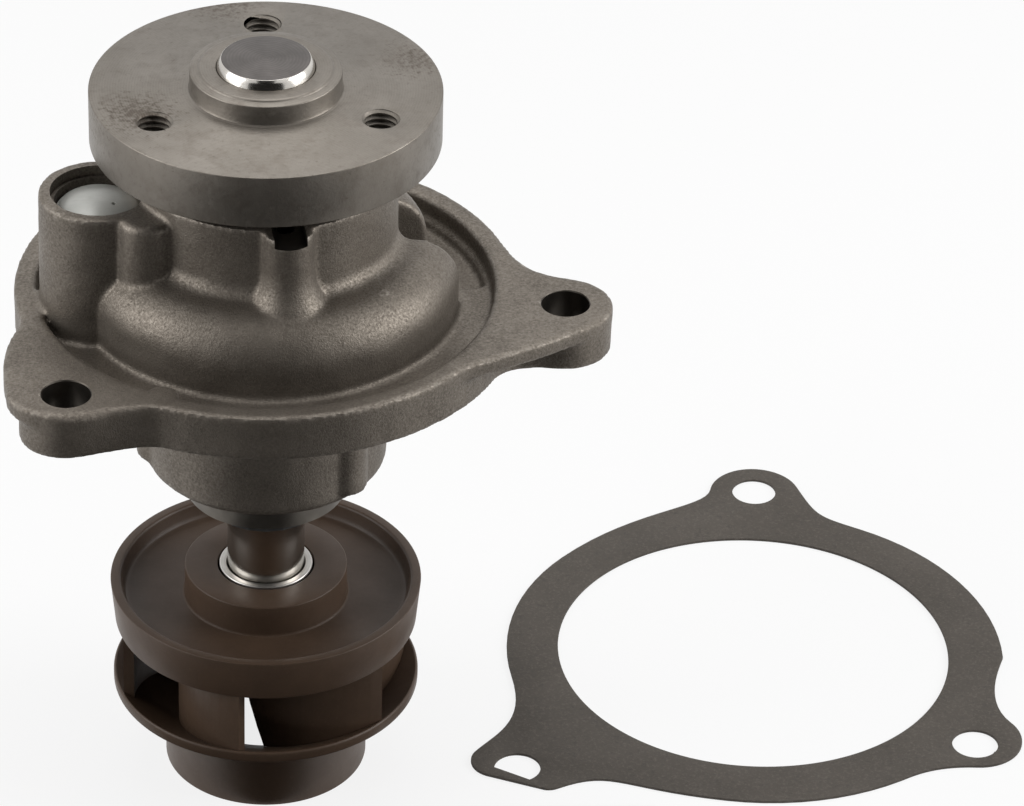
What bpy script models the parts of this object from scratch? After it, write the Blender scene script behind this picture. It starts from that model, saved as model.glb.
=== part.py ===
"""Engine water pump: a cast housing with three bolt ears, an integral shaft bearing, a drive flange,
a unitised shaft seal, a shrouded plastic impeller and the loose paper gasket that comes with it.

Sizes are millimetres until they reach a mesh. Heights are measured up from the surface that the pump
stands on; the frame's origin is the middle of the shaft's pulley end, so every part hangs below it.
"""

import math

import bmesh
import bpy
from mathutils import Matrix, Vector
from mathutils.geometry import interpolate_bezier

MM = 0.001
GAP = 0.3
OVER = 2.0
EDGE = 0.5

# Shaft, with a lead chamfer at the pulley end and a smaller seal and impeller end
SHAFT_END = 133.3
SHAFT_RADIUS = 7.96
SHAFT_END_RADIUS = 7.06
SHAFT_LEAD = 2.2
SEAL_END_RADIUS = 6.35
SHAFT_STEP = 72.0
SHAFT_TAIL = 24.0

# Drive flange, three tapped holes round a pilot hub
DRIVE_RADIUS = 27.8
DRIVE_FACE = 128.0
DRIVE_BACK = 119.2
PILOT_RADIUS = 12.0
PILOT_TOP = 131.8
PILOT_LEAD = 1.2
DRIVE_HOLE_CIRCLE = 20.3
DRIVE_HOLE_RADIUS = 2.5
DRIVE_HOLE_FIRST = 91.5
DRIVE_HOLES = 3

# Housing flange: outline, recess and gasket face
FLANGE_RADIUS = 40.2
FLANGE_TOP = 92.3
GASKET_FACE = 84.5
RECESS_RADIUS = 36.4
RECESS_FLOOR = 89.0
POCKET_FLOOR = 87.6
POCKET_RADIUS = 35.5
POCKET_SPAN = (6.4, 62.0)
FACE_INNER_RADIUS = 33.8
PLATE_UNDERSIDE = 85.6
EAR_HOLE_RADIUS = 4.2
EAR_HOLE_SIDES = 18
EAR_TIP_STEP = 16.0
FLANGE_REACH = 17.0
FLANK_POINTS = 7
POCKET_INNER_RADIUS = 23.0
POCKET_STEPS = 8
PAD_SPOT = (36.6, -116.0)
PAD_RADIUS = 2.6
PAD_TOP = 92.2

# Each ear: bolt hole, tip arc (centre, radius, from and to angle), and where its flanks leave the
# ring. Reach is how far each flank runs on along its tangent: ring, tip, tip, ring.
EARS = (
    {
        "hole": (-30.9, -33.1),
        "tip": (-32.7, -31.5),
        "radius": 7.6,
        "arc": (189.0, 279.0),
        "roots": (-166.0, -112.0),
        "reach": (5.0, 17.0, 5.0, 5.0),
    },
    {
        "hole": (47.7, -6.6),
        "tip": (47.4, -6.5),
        "radius": 7.9,
        "arc": (-53.0, 75.5),
        "roots": (-41.0, 20.0),
        "reach": (3.0, 14.0, 8.0, 8.5),
    },
    {
        "hole": (0.8, 56.1),
        "tip": (0.8, 56.1),
        "radius": 7.6,
        "arc": (20.0, 160.0),
        "roots": (64.0, 116.0),
        "reach": (6.0, 12.0, 12.0, 6.0),
    },
)

# Hollows under the long flanks of the right and left ears: the way that the hollow runs out, how far
# it lies aside of the shaft's axis, its radius, its roof and its reach
EAR_RELIEFS = (
    {"angle": -58.2, "aside": 25.6, "radius": 10.3, "roof": 89.1, "reach": (37.4, 56.0)},
    {"angle": 180.0, "aside": 26.0, "radius": 9.0, "roof": 89.6, "reach": (38.0, 46.0)},
)
EAR_RELIEF_SIDES = 28

# Housing: bearing boss, seal carrier and nose
BOSS_RADIUS = 21.0
BOSS_TOP = 114.5
BOSS_ROOT = 86.6
BEARING_BORE = 15.3
BEARING_LEAD = 0.8
BEARING_SEAT = 74.2
CARRIER_RADIUS = 20.2
CARRIER_FOOT_RADIUS = 19.5
CARRIER_BOTTOM = 60.6
CARRIER_ROOT = 90.0
CARRIER_RIBS = (-44.0, -172.0, 68.0)
CARRIER_RIB_RADIUS = 3.9
CARRIER_RIB_CENTRE = 17.3
CARRIER_RIB_SPAN = (61.3, 87.2)
CARRIER_RIB_SIDES = 16
NOSE_RADIUS = 13.1
NOSE_BOTTOM = 53.7
SEAL_BORE = 10.9

# Volute: the swelling round the boss, which grows from its tongue to its outlet end
VOLUTE_SPAN = (16.0, 357.0)
VOLUTE_REACH = (26.8, 30.9)
VOLUTE_TOP = (104.0, 101.2)
VOLUTE_ROUND = 7.2
VOLUTE_WALL = 3.7
VOLUTE_INNER_RADIUS = 18.4
VOLUTE_ROOT = 86.9
VOLUTE_SECTIONS = 24
VOLUTE_ROUND_STEPS = 5
CHANNEL_END_WALL = 7.0
CHANNEL_INNER_RADIUS = 21.7

# Weep reservoir boss beside the bearing boss, its web, and the weep rib on the front
RESERVOIR = (-26.3, -4.7)
RESERVOIR_RADIUS = 9.5
RESERVOIR_TOP = 112.0
RESERVOIR_ROOT = 86.3
RESERVOIR_RIM = 7.7
RESERVOIR_STEP = 110.2
RESERVOIR_BORE = 7.1
CAP_SEAT = 108.2
CAP_SEAT_RADIUS = 6.2
CAP_DOME = ((0.0, 110.5), (3.5, 110.3), (5.8, 109.9), (RESERVOIR_BORE - GAP, 109.5))
CAP_VENT = (2.4, -1.3)
CAP_VENT_RADIUS = 0.35
CAP_VENT_SIDES = 8
RESERVOIR_FLOOR = 105.0
WEB_FRONT = -13.3
WEB_BACK = 3.6
WEB_INNER = -12.0
WEB_ROOT = 96.0
WEB_TOP = 111.8
WEEP_ANGLE = -80.3
WEEP_RIB_RADIUS = 4.1
WEEP_RIB_CENTRE = 20.0
WEEP_RIB_SPAN = (93.0, 114.2)
WEEP_RIB_SIDES = 18
WEEP_NOTCH_RADIUS = 2.8
WEEP_NOTCH_CENTRE = 115.5
WEEP_NOTCH_REACH = (13.5, 27.0)
WEEP_NOTCH_SIDES = 16
WEEP_HOLE_RADIUS = 1.4
WEEP_HOLE_CENTRE = 17.6
WEEP_CROSS = 70.4
WEEP_HOLE_SIDES = 10

# Slinger on the shaft's shoulder
SLINGER_RADIUS = 9.9
SLINGER_BEND = 7.5
SLINGER_DISH = 1.2
SLINGER_SHEET = 0.9

# Integral bearing: one row of balls, one of rollers, in a plain outer sleeve
RACE_RADIUS = 15.0
RACE_BORE = 12.8
RACE_SPAN = (75.0, 113.4)
LIP_SEAL_HEIGHT = 1.7
ROW_RADIUS = 10.4
ROW_COUNT = 8
BALL_RADIUS = 3.0
BALL_LEVEL = 104.0
BALL_SIDES = (8, 6)
GROOVE_STEPS = 4
GROOVE_HALF = 42.3
TRACK_HALF = 43.3
BALL_CAGE = (9.2, 11.6, 4.1)
ROLLER_RADIUS = 2.1
ROLLER_LEVEL = 86.0
ROLLER_LENGTH = 9.0
ROLLER_SIDES = 12
ROLLER_CAGE = (9.5, 11.3, 6.2)

# Shaft seal
CUP_WALL = (9.9, 10.6)
CUP_LIP_RADIUS = 12.8
CUP_SPAN = (52.9, 64.0)
CUP_SHEET = 0.5
CUP_BORE = 7.2
BELLOWS_SPAN = (56.0, 63.2)
BELLOWS_RADIUS = 9.5
BELLOWS_WAIST = 8.0
BELLOWS_LIP = 0.9
CARBON_SPAN = (53.5, 55.7)
CARBON_WALL = (7.3, 9.4)
CARBON_FACE = 0.5
SEAT_SPAN = (50.9, 53.2)
SEAT_WALL = (7.6, 9.4)
BOOT_SPAN = (49.9, 53.0)
BOOT_NECK_RADIUS = 7.3
BOOT_FLANGE = (9.1, 50.6)
SPRING_TURNS = 2.5
SPRING_POINTS_A_TURN = 12
SPRING_RADIUS = 9.05
SPRING_WIRE_RADIUS = 0.35
SPRING_SPAN = (58.0, 61.2)

# Impeller: dished disc with vanes, welded to a shroud ring with the eye skirt
RIM_RADIUS = 25.7
RIM_TOP = 35.2
DISH_FLOOR = 32.1
DISC_UNDERSIDE = 27.9
HUB_RADIUS = 13.4
HUB_TOP = 37.7
HUB_BOTTOM = 24.6
INSERT_RADIUS = 7.7
INSERT_PROUD = 0.2
DISH_WALL = ((22.6, 0.0), (23.5, 0.6), (23.9, 2.8), (24.2, 3.1))
DISC_UNDERSIDE_RADIUS = 25.0
HUB_TAPER = (12.2, 10.2)
SHROUD_RADIUS = 25.4
SHROUD_TOP = 17.2
SHROUD_EDGE = 1.9
SHROUD_FALL = 7.6
EYE_RADIUS = 16.8
EYE_BORE = 14.6
MOULD_EDGE = 0.3
VANES = 6
VANE_TIP_ANGLE = -99.4
VANE_TIP_RADIUS = 24.2
VANE_SWEEP = 46.0
VANE_INNER_AT_SHROUD = 16.5
VANE_INNER_AT_DISC = 13.6
VANE_THICKNESS = 1.7
VANE_STATIONS = 6
VANE_ROOT = 1.2
WELD_GAP = 0.2

# Gasket, lying face down beside the pump: where the shaft's axis would come and how far it is turned.
# Its ring and its opening lie a little off that axis.
GASKET_PLACE = (83.8, 30.6)
GASKET_TURN = -48.6
GASKET_BORE = 33.5
GASKET_BORE_MIDDLE = (3.0, 1.5)
GASKET_RADIUS = 42.6
GASKET_RING_MIDDLE = (4.9, 2.9)
GASKET_REACH = 8.0
GASKET_THICKNESS = 0.8
GASKET_HOLE_RADIUS = 3.9

# Facets round a full turn
STEPS_LARGE = 44
STEPS_MEDIUM = 28
STEPS_SMALL = 20
SIDES_DRILLED = 14


def level(height):
    """Height above the standing surface, as a Z of the frame in metres."""
    return (height - SHAFT_END) * MM


def polar(radius, degrees):
    angle = math.radians(degrees)
    return Vector((radius * math.cos(angle), radius * math.sin(angle)))


def round_profile(centre, radius, start, end, count):
    """Points of an arc in a (radius, height) profile, from angle start to angle end."""
    turn = [math.radians(start + (end - start) * i / count) for i in range(count + 1)]
    return [(centre[0] + radius * math.cos(a), centre[1] + radius * math.sin(a)) for a in turn]


for leftover in list(bpy.data.objects):
    bpy.data.objects.remove(leftover)

pump = bpy.data.collections.new("water_pump")
cutters = bpy.data.collections.new("cutters")
bpy.context.scene.collection.children.link(pump)
bpy.context.scene.collection.children.link(cutters)


def finish(name, colour, roughness, metallic):
    material = bpy.data.materials.new(name)
    material.use_nodes = True
    shader = material.node_tree.nodes["Principled BSDF"]
    shader.inputs["Base Color"].default_value = (*colour, 1.0)
    shader.inputs["Roughness"].default_value = roughness
    shader.inputs["Metallic"].default_value = metallic
    return material


CAST_IRON = finish("cast_iron", (0.13, 0.115, 0.10), 0.55, 0.7)
TURNED_STEEL = finish("turned_steel", (0.30, 0.28, 0.26), 0.35, 1.0)
GROUND_STEEL = finish("ground_steel", (0.45, 0.43, 0.40), 0.18, 1.0)
BEARING_STEEL = finish("bearing_steel", (0.55, 0.55, 0.55), 0.12, 1.0)
CAGE_NYLON = finish("cage_nylon", (0.55, 0.50, 0.38), 0.5, 0.0)
SEAL_RUBBER = finish("seal_rubber", (0.02, 0.02, 0.02), 0.7, 0.0)
SEAL_SHEET = finish("seal_sheet", (0.50, 0.48, 0.45), 0.25, 1.0)
CARBON = finish("carbon", (0.03, 0.03, 0.035), 0.4, 0.0)
CERAMIC = finish("ceramic", (0.75, 0.74, 0.70), 0.3, 0.0)
BROWN_PLASTIC = finish("brown_plastic", (0.045, 0.026, 0.017), 0.45, 0.0)
CAP_PLASTIC = finish("cap_plastic", (0.42, 0.44, 0.41), 0.4, 0.0)
GASKET_PAPER = finish("gasket_paper", (0.075, 0.066, 0.058), 0.85, 0.0)


def keep(obj, material=None):
    """Puts a finished piece in the pump's collection, or a tool body in the cutters' one."""
    if material is None:
        cutters.objects.link(obj)
        obj.hide_render = True
        obj.display_type = "WIRE"
        return obj
    pump.objects.link(obj)
    obj.data.materials.append(material)
    return obj


def smooth(mesh, angle=40.0):
    mesh.shade_smooth()
    mesh.set_sharp_from_angle(angle=math.radians(angle))


def mesh_object(name, shape):
    mesh = bpy.data.meshes.new(name)
    shape.to_mesh(mesh)
    shape.free()
    smooth(mesh)
    return bpy.data.objects.new(name, mesh)


def turned(name, profile, steps, material=None, at=(0.0, 0.0)):
    """A profile of (radius, height) points, listed down its outer side, turned about Z."""
    shape = bmesh.new()
    corners = [shape.verts.new((r * MM, 0.0, level(h))) for r, h in profile]
    for upper, lower in zip(corners, corners[1:]):
        shape.edges.new((upper, lower))
    if profile[0][0] > 0.0:
        shape.edges.new((corners[-1], corners[0]))
    obj = mesh_object(name, shape)
    obj.location = (at[0] * MM, at[1] * MM, 0.0)
    screw = obj.modifiers.new("turn", "SCREW")
    screw.steps = steps
    screw.render_steps = steps
    screw.use_merge_vertices = True
    screw.merge_threshold = 1e-5
    screw.use_smooth_shade = True
    return keep(obj, material)


def cylinder(name, radius, low, high, at, sides, material=None):
    shape = bmesh.new()
    place = Matrix.Translation((at[0] * MM, at[1] * MM, (level(low) + level(high)) / 2))
    bmesh.ops.create_cone(
        shape,
        cap_ends=True,
        segments=sides,
        radius1=radius * MM,
        radius2=radius * MM,
        depth=(high - low) * MM,
        matrix=place,
    )
    return keep(mesh_object(name, shape), material)


def radial_drill(name, radius, angle, height, reach, sides, aside=0.0):
    """A round tool that lies along a radius from reach[0] to reach[1], moved aside if need be."""
    shape = bmesh.new()
    middle = (polar((reach[0] + reach[1]) / 2, angle) + polar(aside, angle + 90.0)) * MM
    lie = Matrix.Rotation(math.radians(angle), 4, "Z") @ Matrix.Rotation(math.pi / 2, 4, "Y")
    bmesh.ops.create_cone(
        shape,
        cap_ends=True,
        segments=sides,
        radius1=radius * MM,
        radius2=radius * MM,
        depth=(reach[1] - reach[0]) * MM,
        matrix=Matrix.Translation((middle.x, middle.y, level(height))) @ lie,
    )
    return keep(mesh_object(name, shape))


def lofted(name, *bodies):
    """Closed tool bodies, each through sections of equally many points, with its two ends filled."""
    shape = bmesh.new()
    for sections in bodies:
        rings = [[shape.verts.new(point) for point in section] for section in sections]
        count = len(rings[0])
        for ring, following in zip(rings, rings[1:]):
            for i in range(count):
                j = (i + 1) % count
                shape.faces.new((ring[i], ring[j], following[j], following[i]))
        shape.faces.new(list(reversed(rings[0])))
        shape.faces.new(rings[-1])
    bmesh.ops.recalc_face_normals(shape, faces=shape.faces)
    bmesh.ops.triangulate(shape, faces=shape.faces)
    return keep(mesh_object(name, shape))


def plate(name, outline, low, high, material=None, holes=()):
    """A flat outline, with holes, given its thickness."""
    curve = bpy.data.curves.new(name, "CURVE")
    curve.dimensions = "2D"
    curve.fill_mode = "BOTH"
    curve.extrude = (high - low) / 2 * MM
    for loop in (outline, *holes):
        spline = curve.splines.new("POLY")
        spline.points.add(len(loop) - 1)
        for point, (x, y) in zip(spline.points, loop):
            point.co = (x * MM, y * MM, 0.0, 1.0)
        spline.use_cyclic_u = True
    guide = bpy.data.objects.new(name + "_outline", curve)
    guide.location.z = (level(low) + level(high)) / 2
    cutters.objects.link(guide)
    bpy.context.view_layer.update()
    drawn = guide.evaluated_get(bpy.context.evaluated_depsgraph_get())
    mesh = bpy.data.meshes.new_from_object(drawn)
    shape = bmesh.new()
    shape.from_mesh(mesh)
    bmesh.ops.remove_doubles(shape, verts=shape.verts, dist=1e-6)
    shape.to_mesh(mesh)
    shape.free()
    mesh.name = name
    smooth(mesh)
    obj = bpy.data.objects.new(name, mesh)
    obj.matrix_world = guide.matrix_world
    bpy.data.objects.remove(guide)
    return keep(obj, material)


def combine(target, tool, operation):
    step = target.modifiers.new(tool.name, "BOOLEAN")
    step.operation = operation
    step.solver = "EXACT"
    step.object = tool


def circle(radius, sides, centre=(0.0, 0.0)):
    turn = [polar(radius, 360.0 * i / sides) for i in range(sides)]
    return [(centre[0] + p.x, centre[1] + p.y) for p in turn]


def arc_points(centre, radius, start, end, step):
    count = max(2, round((end - start) / step))
    turn = [polar(radius, start + (end - start) * i / count) for i in range(count + 1)]
    return [Vector(centre) + p for p in turn]


def heading(degrees):
    """Direction of travel, anticlockwise, at this angle of a circle."""
    return polar(1.0, degrees + 90.0)


def flank(start, start_way, start_reach, end, end_way, end_reach):
    """A smooth edge between two points, leaving and arriving along the given directions."""
    points = interpolate_bezier(
        start, start + start_way * start_reach, end - end_way * end_reach, end, FLANK_POINTS
    )
    return [p.xy for p in points[1:-1]]


def flange_outline(ring, longest_reach, middle=(0.0, 0.0)):
    """A ring of this radius with the three ears, anticlockwise from the first ear's root."""
    middle = Vector(middle)
    outline = []
    for ear, following in zip(EARS, EARS[1:] + EARS[:1]):
        ring_in, ring_out = ear["roots"]
        tip_in, tip_out = ear["arc"]
        tip = arc_points(ear["tip"], ear["radius"], tip_in, tip_out, EAR_TIP_STEP)
        reach = [min(way, longest_reach) for way in ear["reach"]]
        root_in = middle + polar(ring, ring_in)
        root_out = middle + polar(ring, ring_out)
        outline += flank(root_in, heading(ring_in), reach[0], tip[0], heading(tip_in), reach[1])
        outline += tip
        outline += flank(tip[-1], heading(tip_out), reach[2], root_out, heading(ring_out), reach[3])
        next_root = following["roots"][0]
        next_root += 360.0 if next_root < ring_out else 0.0
        outline += arc_points(middle, ring, ring_out, next_root, 360.0 / STEPS_LARGE)
    return [(p.x, p.y) for p in outline]


def volute_section(degrees, wall, inner, low):
    """Cross-section of the volute at an angle, drawn in by a wall, from inner radius and low height."""
    grown = (degrees - VOLUTE_SPAN[0]) / (VOLUTE_SPAN[1] - VOLUTE_SPAN[0])
    reach = VOLUTE_REACH[0] + (VOLUTE_REACH[1] - VOLUTE_REACH[0]) * math.sqrt(grown) - wall
    top = VOLUTE_TOP[0] + (VOLUTE_TOP[1] - VOLUTE_TOP[0]) * grown - wall
    corner = min(VOLUTE_ROUND - wall, reach - inner - EDGE)
    profile = [(inner, low), (reach, low)]
    profile += round_profile((reach - corner, top - corner), corner, 0.0, 90.0, VOLUTE_ROUND_STEPS)
    profile += [(inner, top)]
    way = polar(1.0, degrees)
    return [Vector((way.x * r * MM, way.y * r * MM, level(h))) for r, h in profile]


def volute_body(name, wall, end_wall, inner, low):
    first = VOLUTE_SPAN[0] + end_wall
    last = VOLUTE_SPAN[1] - end_wall
    turns = [first + (last - first) * i / VOLUTE_SECTIONS for i in range(VOLUTE_SECTIONS + 1)]
    return lofted(name, [volute_section(turn, wall, inner, low) for turn in turns])


# Housing: the flange is cut to its recess first, then the boss, carrier and volute join it,
# and the bores and passages are cut last.
housing = plate("housing", flange_outline(FLANGE_RADIUS, FLANGE_REACH), GASKET_FACE, FLANGE_TOP, CAST_IRON)

face_step = cylinder(
    "face_step", FACE_INNER_RADIUS, GASKET_FACE - OVER, PLATE_UNDERSIDE, (0.0, 0.0), STEPS_LARGE
)
recess = cylinder("recess", RECESS_RADIUS, RECESS_FLOOR, FLANGE_TOP + OVER, (0.0, 0.0), STEPS_LARGE)


def ring_sector(name, inner, outer, low, high, span, count):
    corners = [(inner, low), (outer, low), (outer, high), (inner, high)]
    sections = []
    for i in range(count + 1):
        way = polar(1.0, span[0] + (span[1] - span[0]) * i / count)
        sections.append([Vector((way.x * r * MM, way.y * r * MM, level(h))) for r, h in corners])
    return lofted(name, sections)


pocket = ring_sector(
    "pocket",
    POCKET_INNER_RADIUS,
    POCKET_RADIUS,
    POCKET_FLOOR,
    FLANGE_TOP + OVER,
    POCKET_SPAN,
    POCKET_STEPS,
)
for tool in (face_step, recess, pocket):
    combine(housing, tool, "DIFFERENCE")

carrier = turned(
    "carrier",
    [
        (0.0, CARRIER_ROOT),
        (CARRIER_RADIUS, CARRIER_ROOT),
        (CARRIER_FOOT_RADIUS, CARRIER_BOTTOM + EDGE),
        (CARRIER_FOOT_RADIUS - EDGE, CARRIER_BOTTOM),
        (NOSE_RADIUS, CARRIER_BOTTOM),
        (NOSE_RADIUS, NOSE_BOTTOM + EDGE),
        (NOSE_RADIUS - EDGE, NOSE_BOTTOM),
        (0.0, NOSE_BOTTOM),
    ],
    STEPS_MEDIUM,
)
carrier_ribs = [
    cylinder(
        f"carrier_rib_{number}",
        CARRIER_RIB_RADIUS,
        *CARRIER_RIB_SPAN,
        polar(CARRIER_RIB_CENTRE, angle),
        CARRIER_RIB_SIDES,
    )
    for number, angle in enumerate(CARRIER_RIBS, start=1)
]
boss = turned(
    "boss",
    [
        (0.0, BOSS_TOP),
        (BOSS_RADIUS - EDGE, BOSS_TOP),
        (BOSS_RADIUS, BOSS_TOP - EDGE),
        (BOSS_RADIUS, BOSS_ROOT),
        (0.0, BOSS_ROOT),
    ],
    STEPS_LARGE,
)
volute = volute_body("volute", 0.0, 0.0, VOLUTE_INNER_RADIUS, VOLUTE_ROOT)
reservoir = turned(
    "reservoir",
    [
        (0.0, RESERVOIR_TOP),
        (RESERVOIR_RADIUS - EDGE, RESERVOIR_TOP),
        (RESERVOIR_RADIUS, RESERVOIR_TOP - EDGE),
        (RESERVOIR_RADIUS, RESERVOIR_ROOT),
        (0.0, RESERVOIR_ROOT),
    ],
    STEPS_SMALL,
    at=RESERVOIR,
)
web = plate(
    "web",
    [(RESERVOIR[0], WEB_FRONT), (WEB_INNER, WEB_FRONT), (WEB_INNER, WEB_BACK), (RESERVOIR[0], WEB_BACK)],
    WEB_ROOT,
    WEB_TOP,
)
weep_rib = cylinder(
    "weep_rib", WEEP_RIB_RADIUS, *WEEP_RIB_SPAN, polar(WEEP_RIB_CENTRE, WEEP_ANGLE), WEEP_RIB_SIDES
)
recess_pad = cylinder(
    "recess_pad", PAD_RADIUS, RESERVOIR_ROOT, PAD_TOP, polar(*PAD_SPOT), SIDES_DRILLED
)
for body in (carrier, *carrier_ribs, boss, volute, reservoir, web, weep_rib, recess_pad):
    combine(housing, body, "UNION")

channel = volute_body(
    "channel", VOLUTE_WALL, CHANNEL_END_WALL, CHANNEL_INNER_RADIUS, GASKET_FACE - OVER
)
bores = turned(
    "bores",
    [
        (0.0, BOSS_TOP + OVER),
        (BEARING_BORE + BEARING_LEAD, BOSS_TOP + OVER),
        (BEARING_BORE + BEARING_LEAD, BOSS_TOP - GAP),
        (BEARING_BORE, BOSS_TOP - GAP - BEARING_LEAD),
        (BEARING_BORE, BEARING_SEAT),
        (SEAL_BORE, BEARING_SEAT),
        (SEAL_BORE, NOSE_BOTTOM - OVER),
        (0.0, NOSE_BOTTOM - OVER),
    ],
    STEPS_MEDIUM,
)
reservoir_bore = turned(
    "reservoir_bore",
    [
        (0.0, RESERVOIR_TOP + OVER),
        (RESERVOIR_RIM + OVER, RESERVOIR_TOP + OVER),
        (RESERVOIR_RIM, RESERVOIR_TOP - EDGE),
        (RESERVOIR_RIM, RESERVOIR_STEP),
        (RESERVOIR_BORE, RESERVOIR_STEP),
        (RESERVOIR_BORE, CAP_SEAT),
        (CAP_SEAT_RADIUS, CAP_SEAT),
        (CAP_SEAT_RADIUS, RESERVOIR_FLOOR),
        (0.0, RESERVOIR_FLOOR),
    ],
    STEPS_SMALL,
    at=RESERVOIR,
)
weep_notch = radial_drill(
    "weep_notch", WEEP_NOTCH_RADIUS, WEEP_ANGLE, WEEP_NOTCH_CENTRE, WEEP_NOTCH_REACH, WEEP_NOTCH_SIDES
)
weep_hole = cylinder(
    "weep_hole",
    WEEP_HOLE_RADIUS,
    WEEP_CROSS - WEEP_HOLE_RADIUS / 2,
    BOSS_TOP + OVER,
    polar(WEEP_HOLE_CENTRE, WEEP_ANGLE),
    WEEP_HOLE_SIDES,
)
weep_cross = radial_drill(
    "weep_cross",
    WEEP_HOLE_RADIUS,
    WEEP_ANGLE,
    WEEP_CROSS,
    (SEAL_BORE - OVER, WEEP_HOLE_CENTRE),
    WEEP_HOLE_SIDES,
)
ear_reliefs = [
    radial_drill(
        f"ear_relief_{number}",
        relief["radius"],
        relief["angle"],
        relief["roof"] - relief["radius"],
        relief["reach"],
        EAR_RELIEF_SIDES,
        relief["aside"],
    )
    for number, relief in enumerate(EAR_RELIEFS, start=1)
]
for tool in (channel, bores, reservoir_bore, weep_notch, weep_hole, weep_cross, *ear_reliefs):
    combine(housing, tool, "DIFFERENCE")


def drilled(name, radius, chamfer, top, bottom, at, sides):
    """A drill with a countersink that opens the hole by the chamfer at the top face."""
    return turned(
        name,
        [
            (0.0, top + OVER),
            (radius + chamfer + OVER, top + OVER),
            (radius, top - chamfer),
            (radius, bottom - OVER),
            (0.0, bottom - OVER),
        ],
        sides,
        at=at,
    )


for number, ear in enumerate(EARS, start=1):
    drill = drilled(
        f"ear_drill_{number}", EAR_HOLE_RADIUS, EDGE, FLANGE_TOP, GASKET_FACE, ear["hole"], EAR_HOLE_SIDES
    )
    combine(housing, drill, "DIFFERENCE")

# Weep reservoir cap: a shallow domed plug with a pin-hole vent
weep_cap = turned(
    "weep_reservoir_cap",
    [
        *CAP_DOME,
        (RESERVOIR_BORE - GAP, CAP_SEAT + GAP),
        (0.0, CAP_SEAT + GAP),
    ],
    STEPS_SMALL,
    CAP_PLASTIC,
    at=RESERVOIR,
)
vent = cylinder(
    "vent_drill",
    CAP_VENT_RADIUS,
    CAP_SEAT - OVER,
    RESERVOIR_TOP + OVER,
    (RESERVOIR[0] + CAP_VENT[0], RESERVOIR[1] + CAP_VENT[1]),
    CAP_VENT_SIDES,
)
combine(weep_cap, vent, "DIFFERENCE")

# Rotor: everything on the shaft hangs from one empty on the shaft's axis
rotor = bpy.data.objects.new("rotor", None)
pump.objects.link(rotor)

groove_span = (180.0 - GROOVE_HALF, 180.0 + GROOVE_HALF)
groove = round_profile((ROW_RADIUS, BALL_LEVEL), BALL_RADIUS + GAP, *groove_span, GROOVE_STEPS)
shaft = turned(
    "shaft",
    [
        (0.0, SHAFT_END),
        (SHAFT_END_RADIUS, SHAFT_END),
        (SHAFT_RADIUS, SHAFT_END - SHAFT_LEAD),
        *groove,
        (SHAFT_RADIUS, SHAFT_STEP + EDGE),
        (SHAFT_RADIUS - EDGE, SHAFT_STEP),
        (SEAL_END_RADIUS, SHAFT_STEP),
        (SEAL_END_RADIUS, SHAFT_TAIL + EDGE),
        (SEAL_END_RADIUS - EDGE, SHAFT_TAIL),
        (0.0, SHAFT_TAIL),
    ],
    STEPS_MEDIUM,
    GROUND_STEEL,
)

drive_flange = turned(
    "drive_flange",
    [
        (SHAFT_RADIUS + GAP + PILOT_LEAD, PILOT_TOP),
        (PILOT_RADIUS - EDGE, PILOT_TOP),
        (PILOT_RADIUS, PILOT_TOP - EDGE),
        (PILOT_RADIUS, DRIVE_FACE + EDGE),
        (PILOT_RADIUS + EDGE, DRIVE_FACE),
        (DRIVE_RADIUS - EDGE, DRIVE_FACE),
        (DRIVE_RADIUS, DRIVE_FACE - EDGE),
        (DRIVE_RADIUS, DRIVE_BACK + EDGE),
        (DRIVE_RADIUS - EDGE, DRIVE_BACK),
        (SHAFT_RADIUS + GAP, DRIVE_BACK),
        (SHAFT_RADIUS + GAP, PILOT_TOP - PILOT_LEAD),
    ],
    STEPS_LARGE,
    TURNED_STEEL,
)
for number in range(DRIVE_HOLES):
    spot = polar(DRIVE_HOLE_CIRCLE, DRIVE_HOLE_FIRST + 360.0 / DRIVE_HOLES * number)
    drill = drilled(
        f"drive_drill_{number + 1}", DRIVE_HOLE_RADIUS, EDGE, DRIVE_FACE, DRIVE_BACK, spot, SIDES_DRILLED
    )
    combine(drive_flange, drill, "DIFFERENCE")

# Slinger: a thin dished washer under the shaft's shoulder that throws seepage clear of the bearing
slinger = turned(
    "slinger",
    [
        (SEAL_END_RADIUS + GAP, SHAFT_STEP - GAP),
        (SLINGER_BEND, SHAFT_STEP - GAP),
        (SLINGER_RADIUS, SHAFT_STEP - GAP - SLINGER_DISH),
        (SLINGER_RADIUS, SHAFT_STEP - GAP - SLINGER_DISH - SLINGER_SHEET),
        (SLINGER_BEND, SHAFT_STEP - GAP - SLINGER_SHEET),
        (SEAL_END_RADIUS + GAP, SHAFT_STEP - GAP - SLINGER_SHEET),
    ],
    STEPS_SMALL,
    SEAL_SHEET,
)

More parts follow.
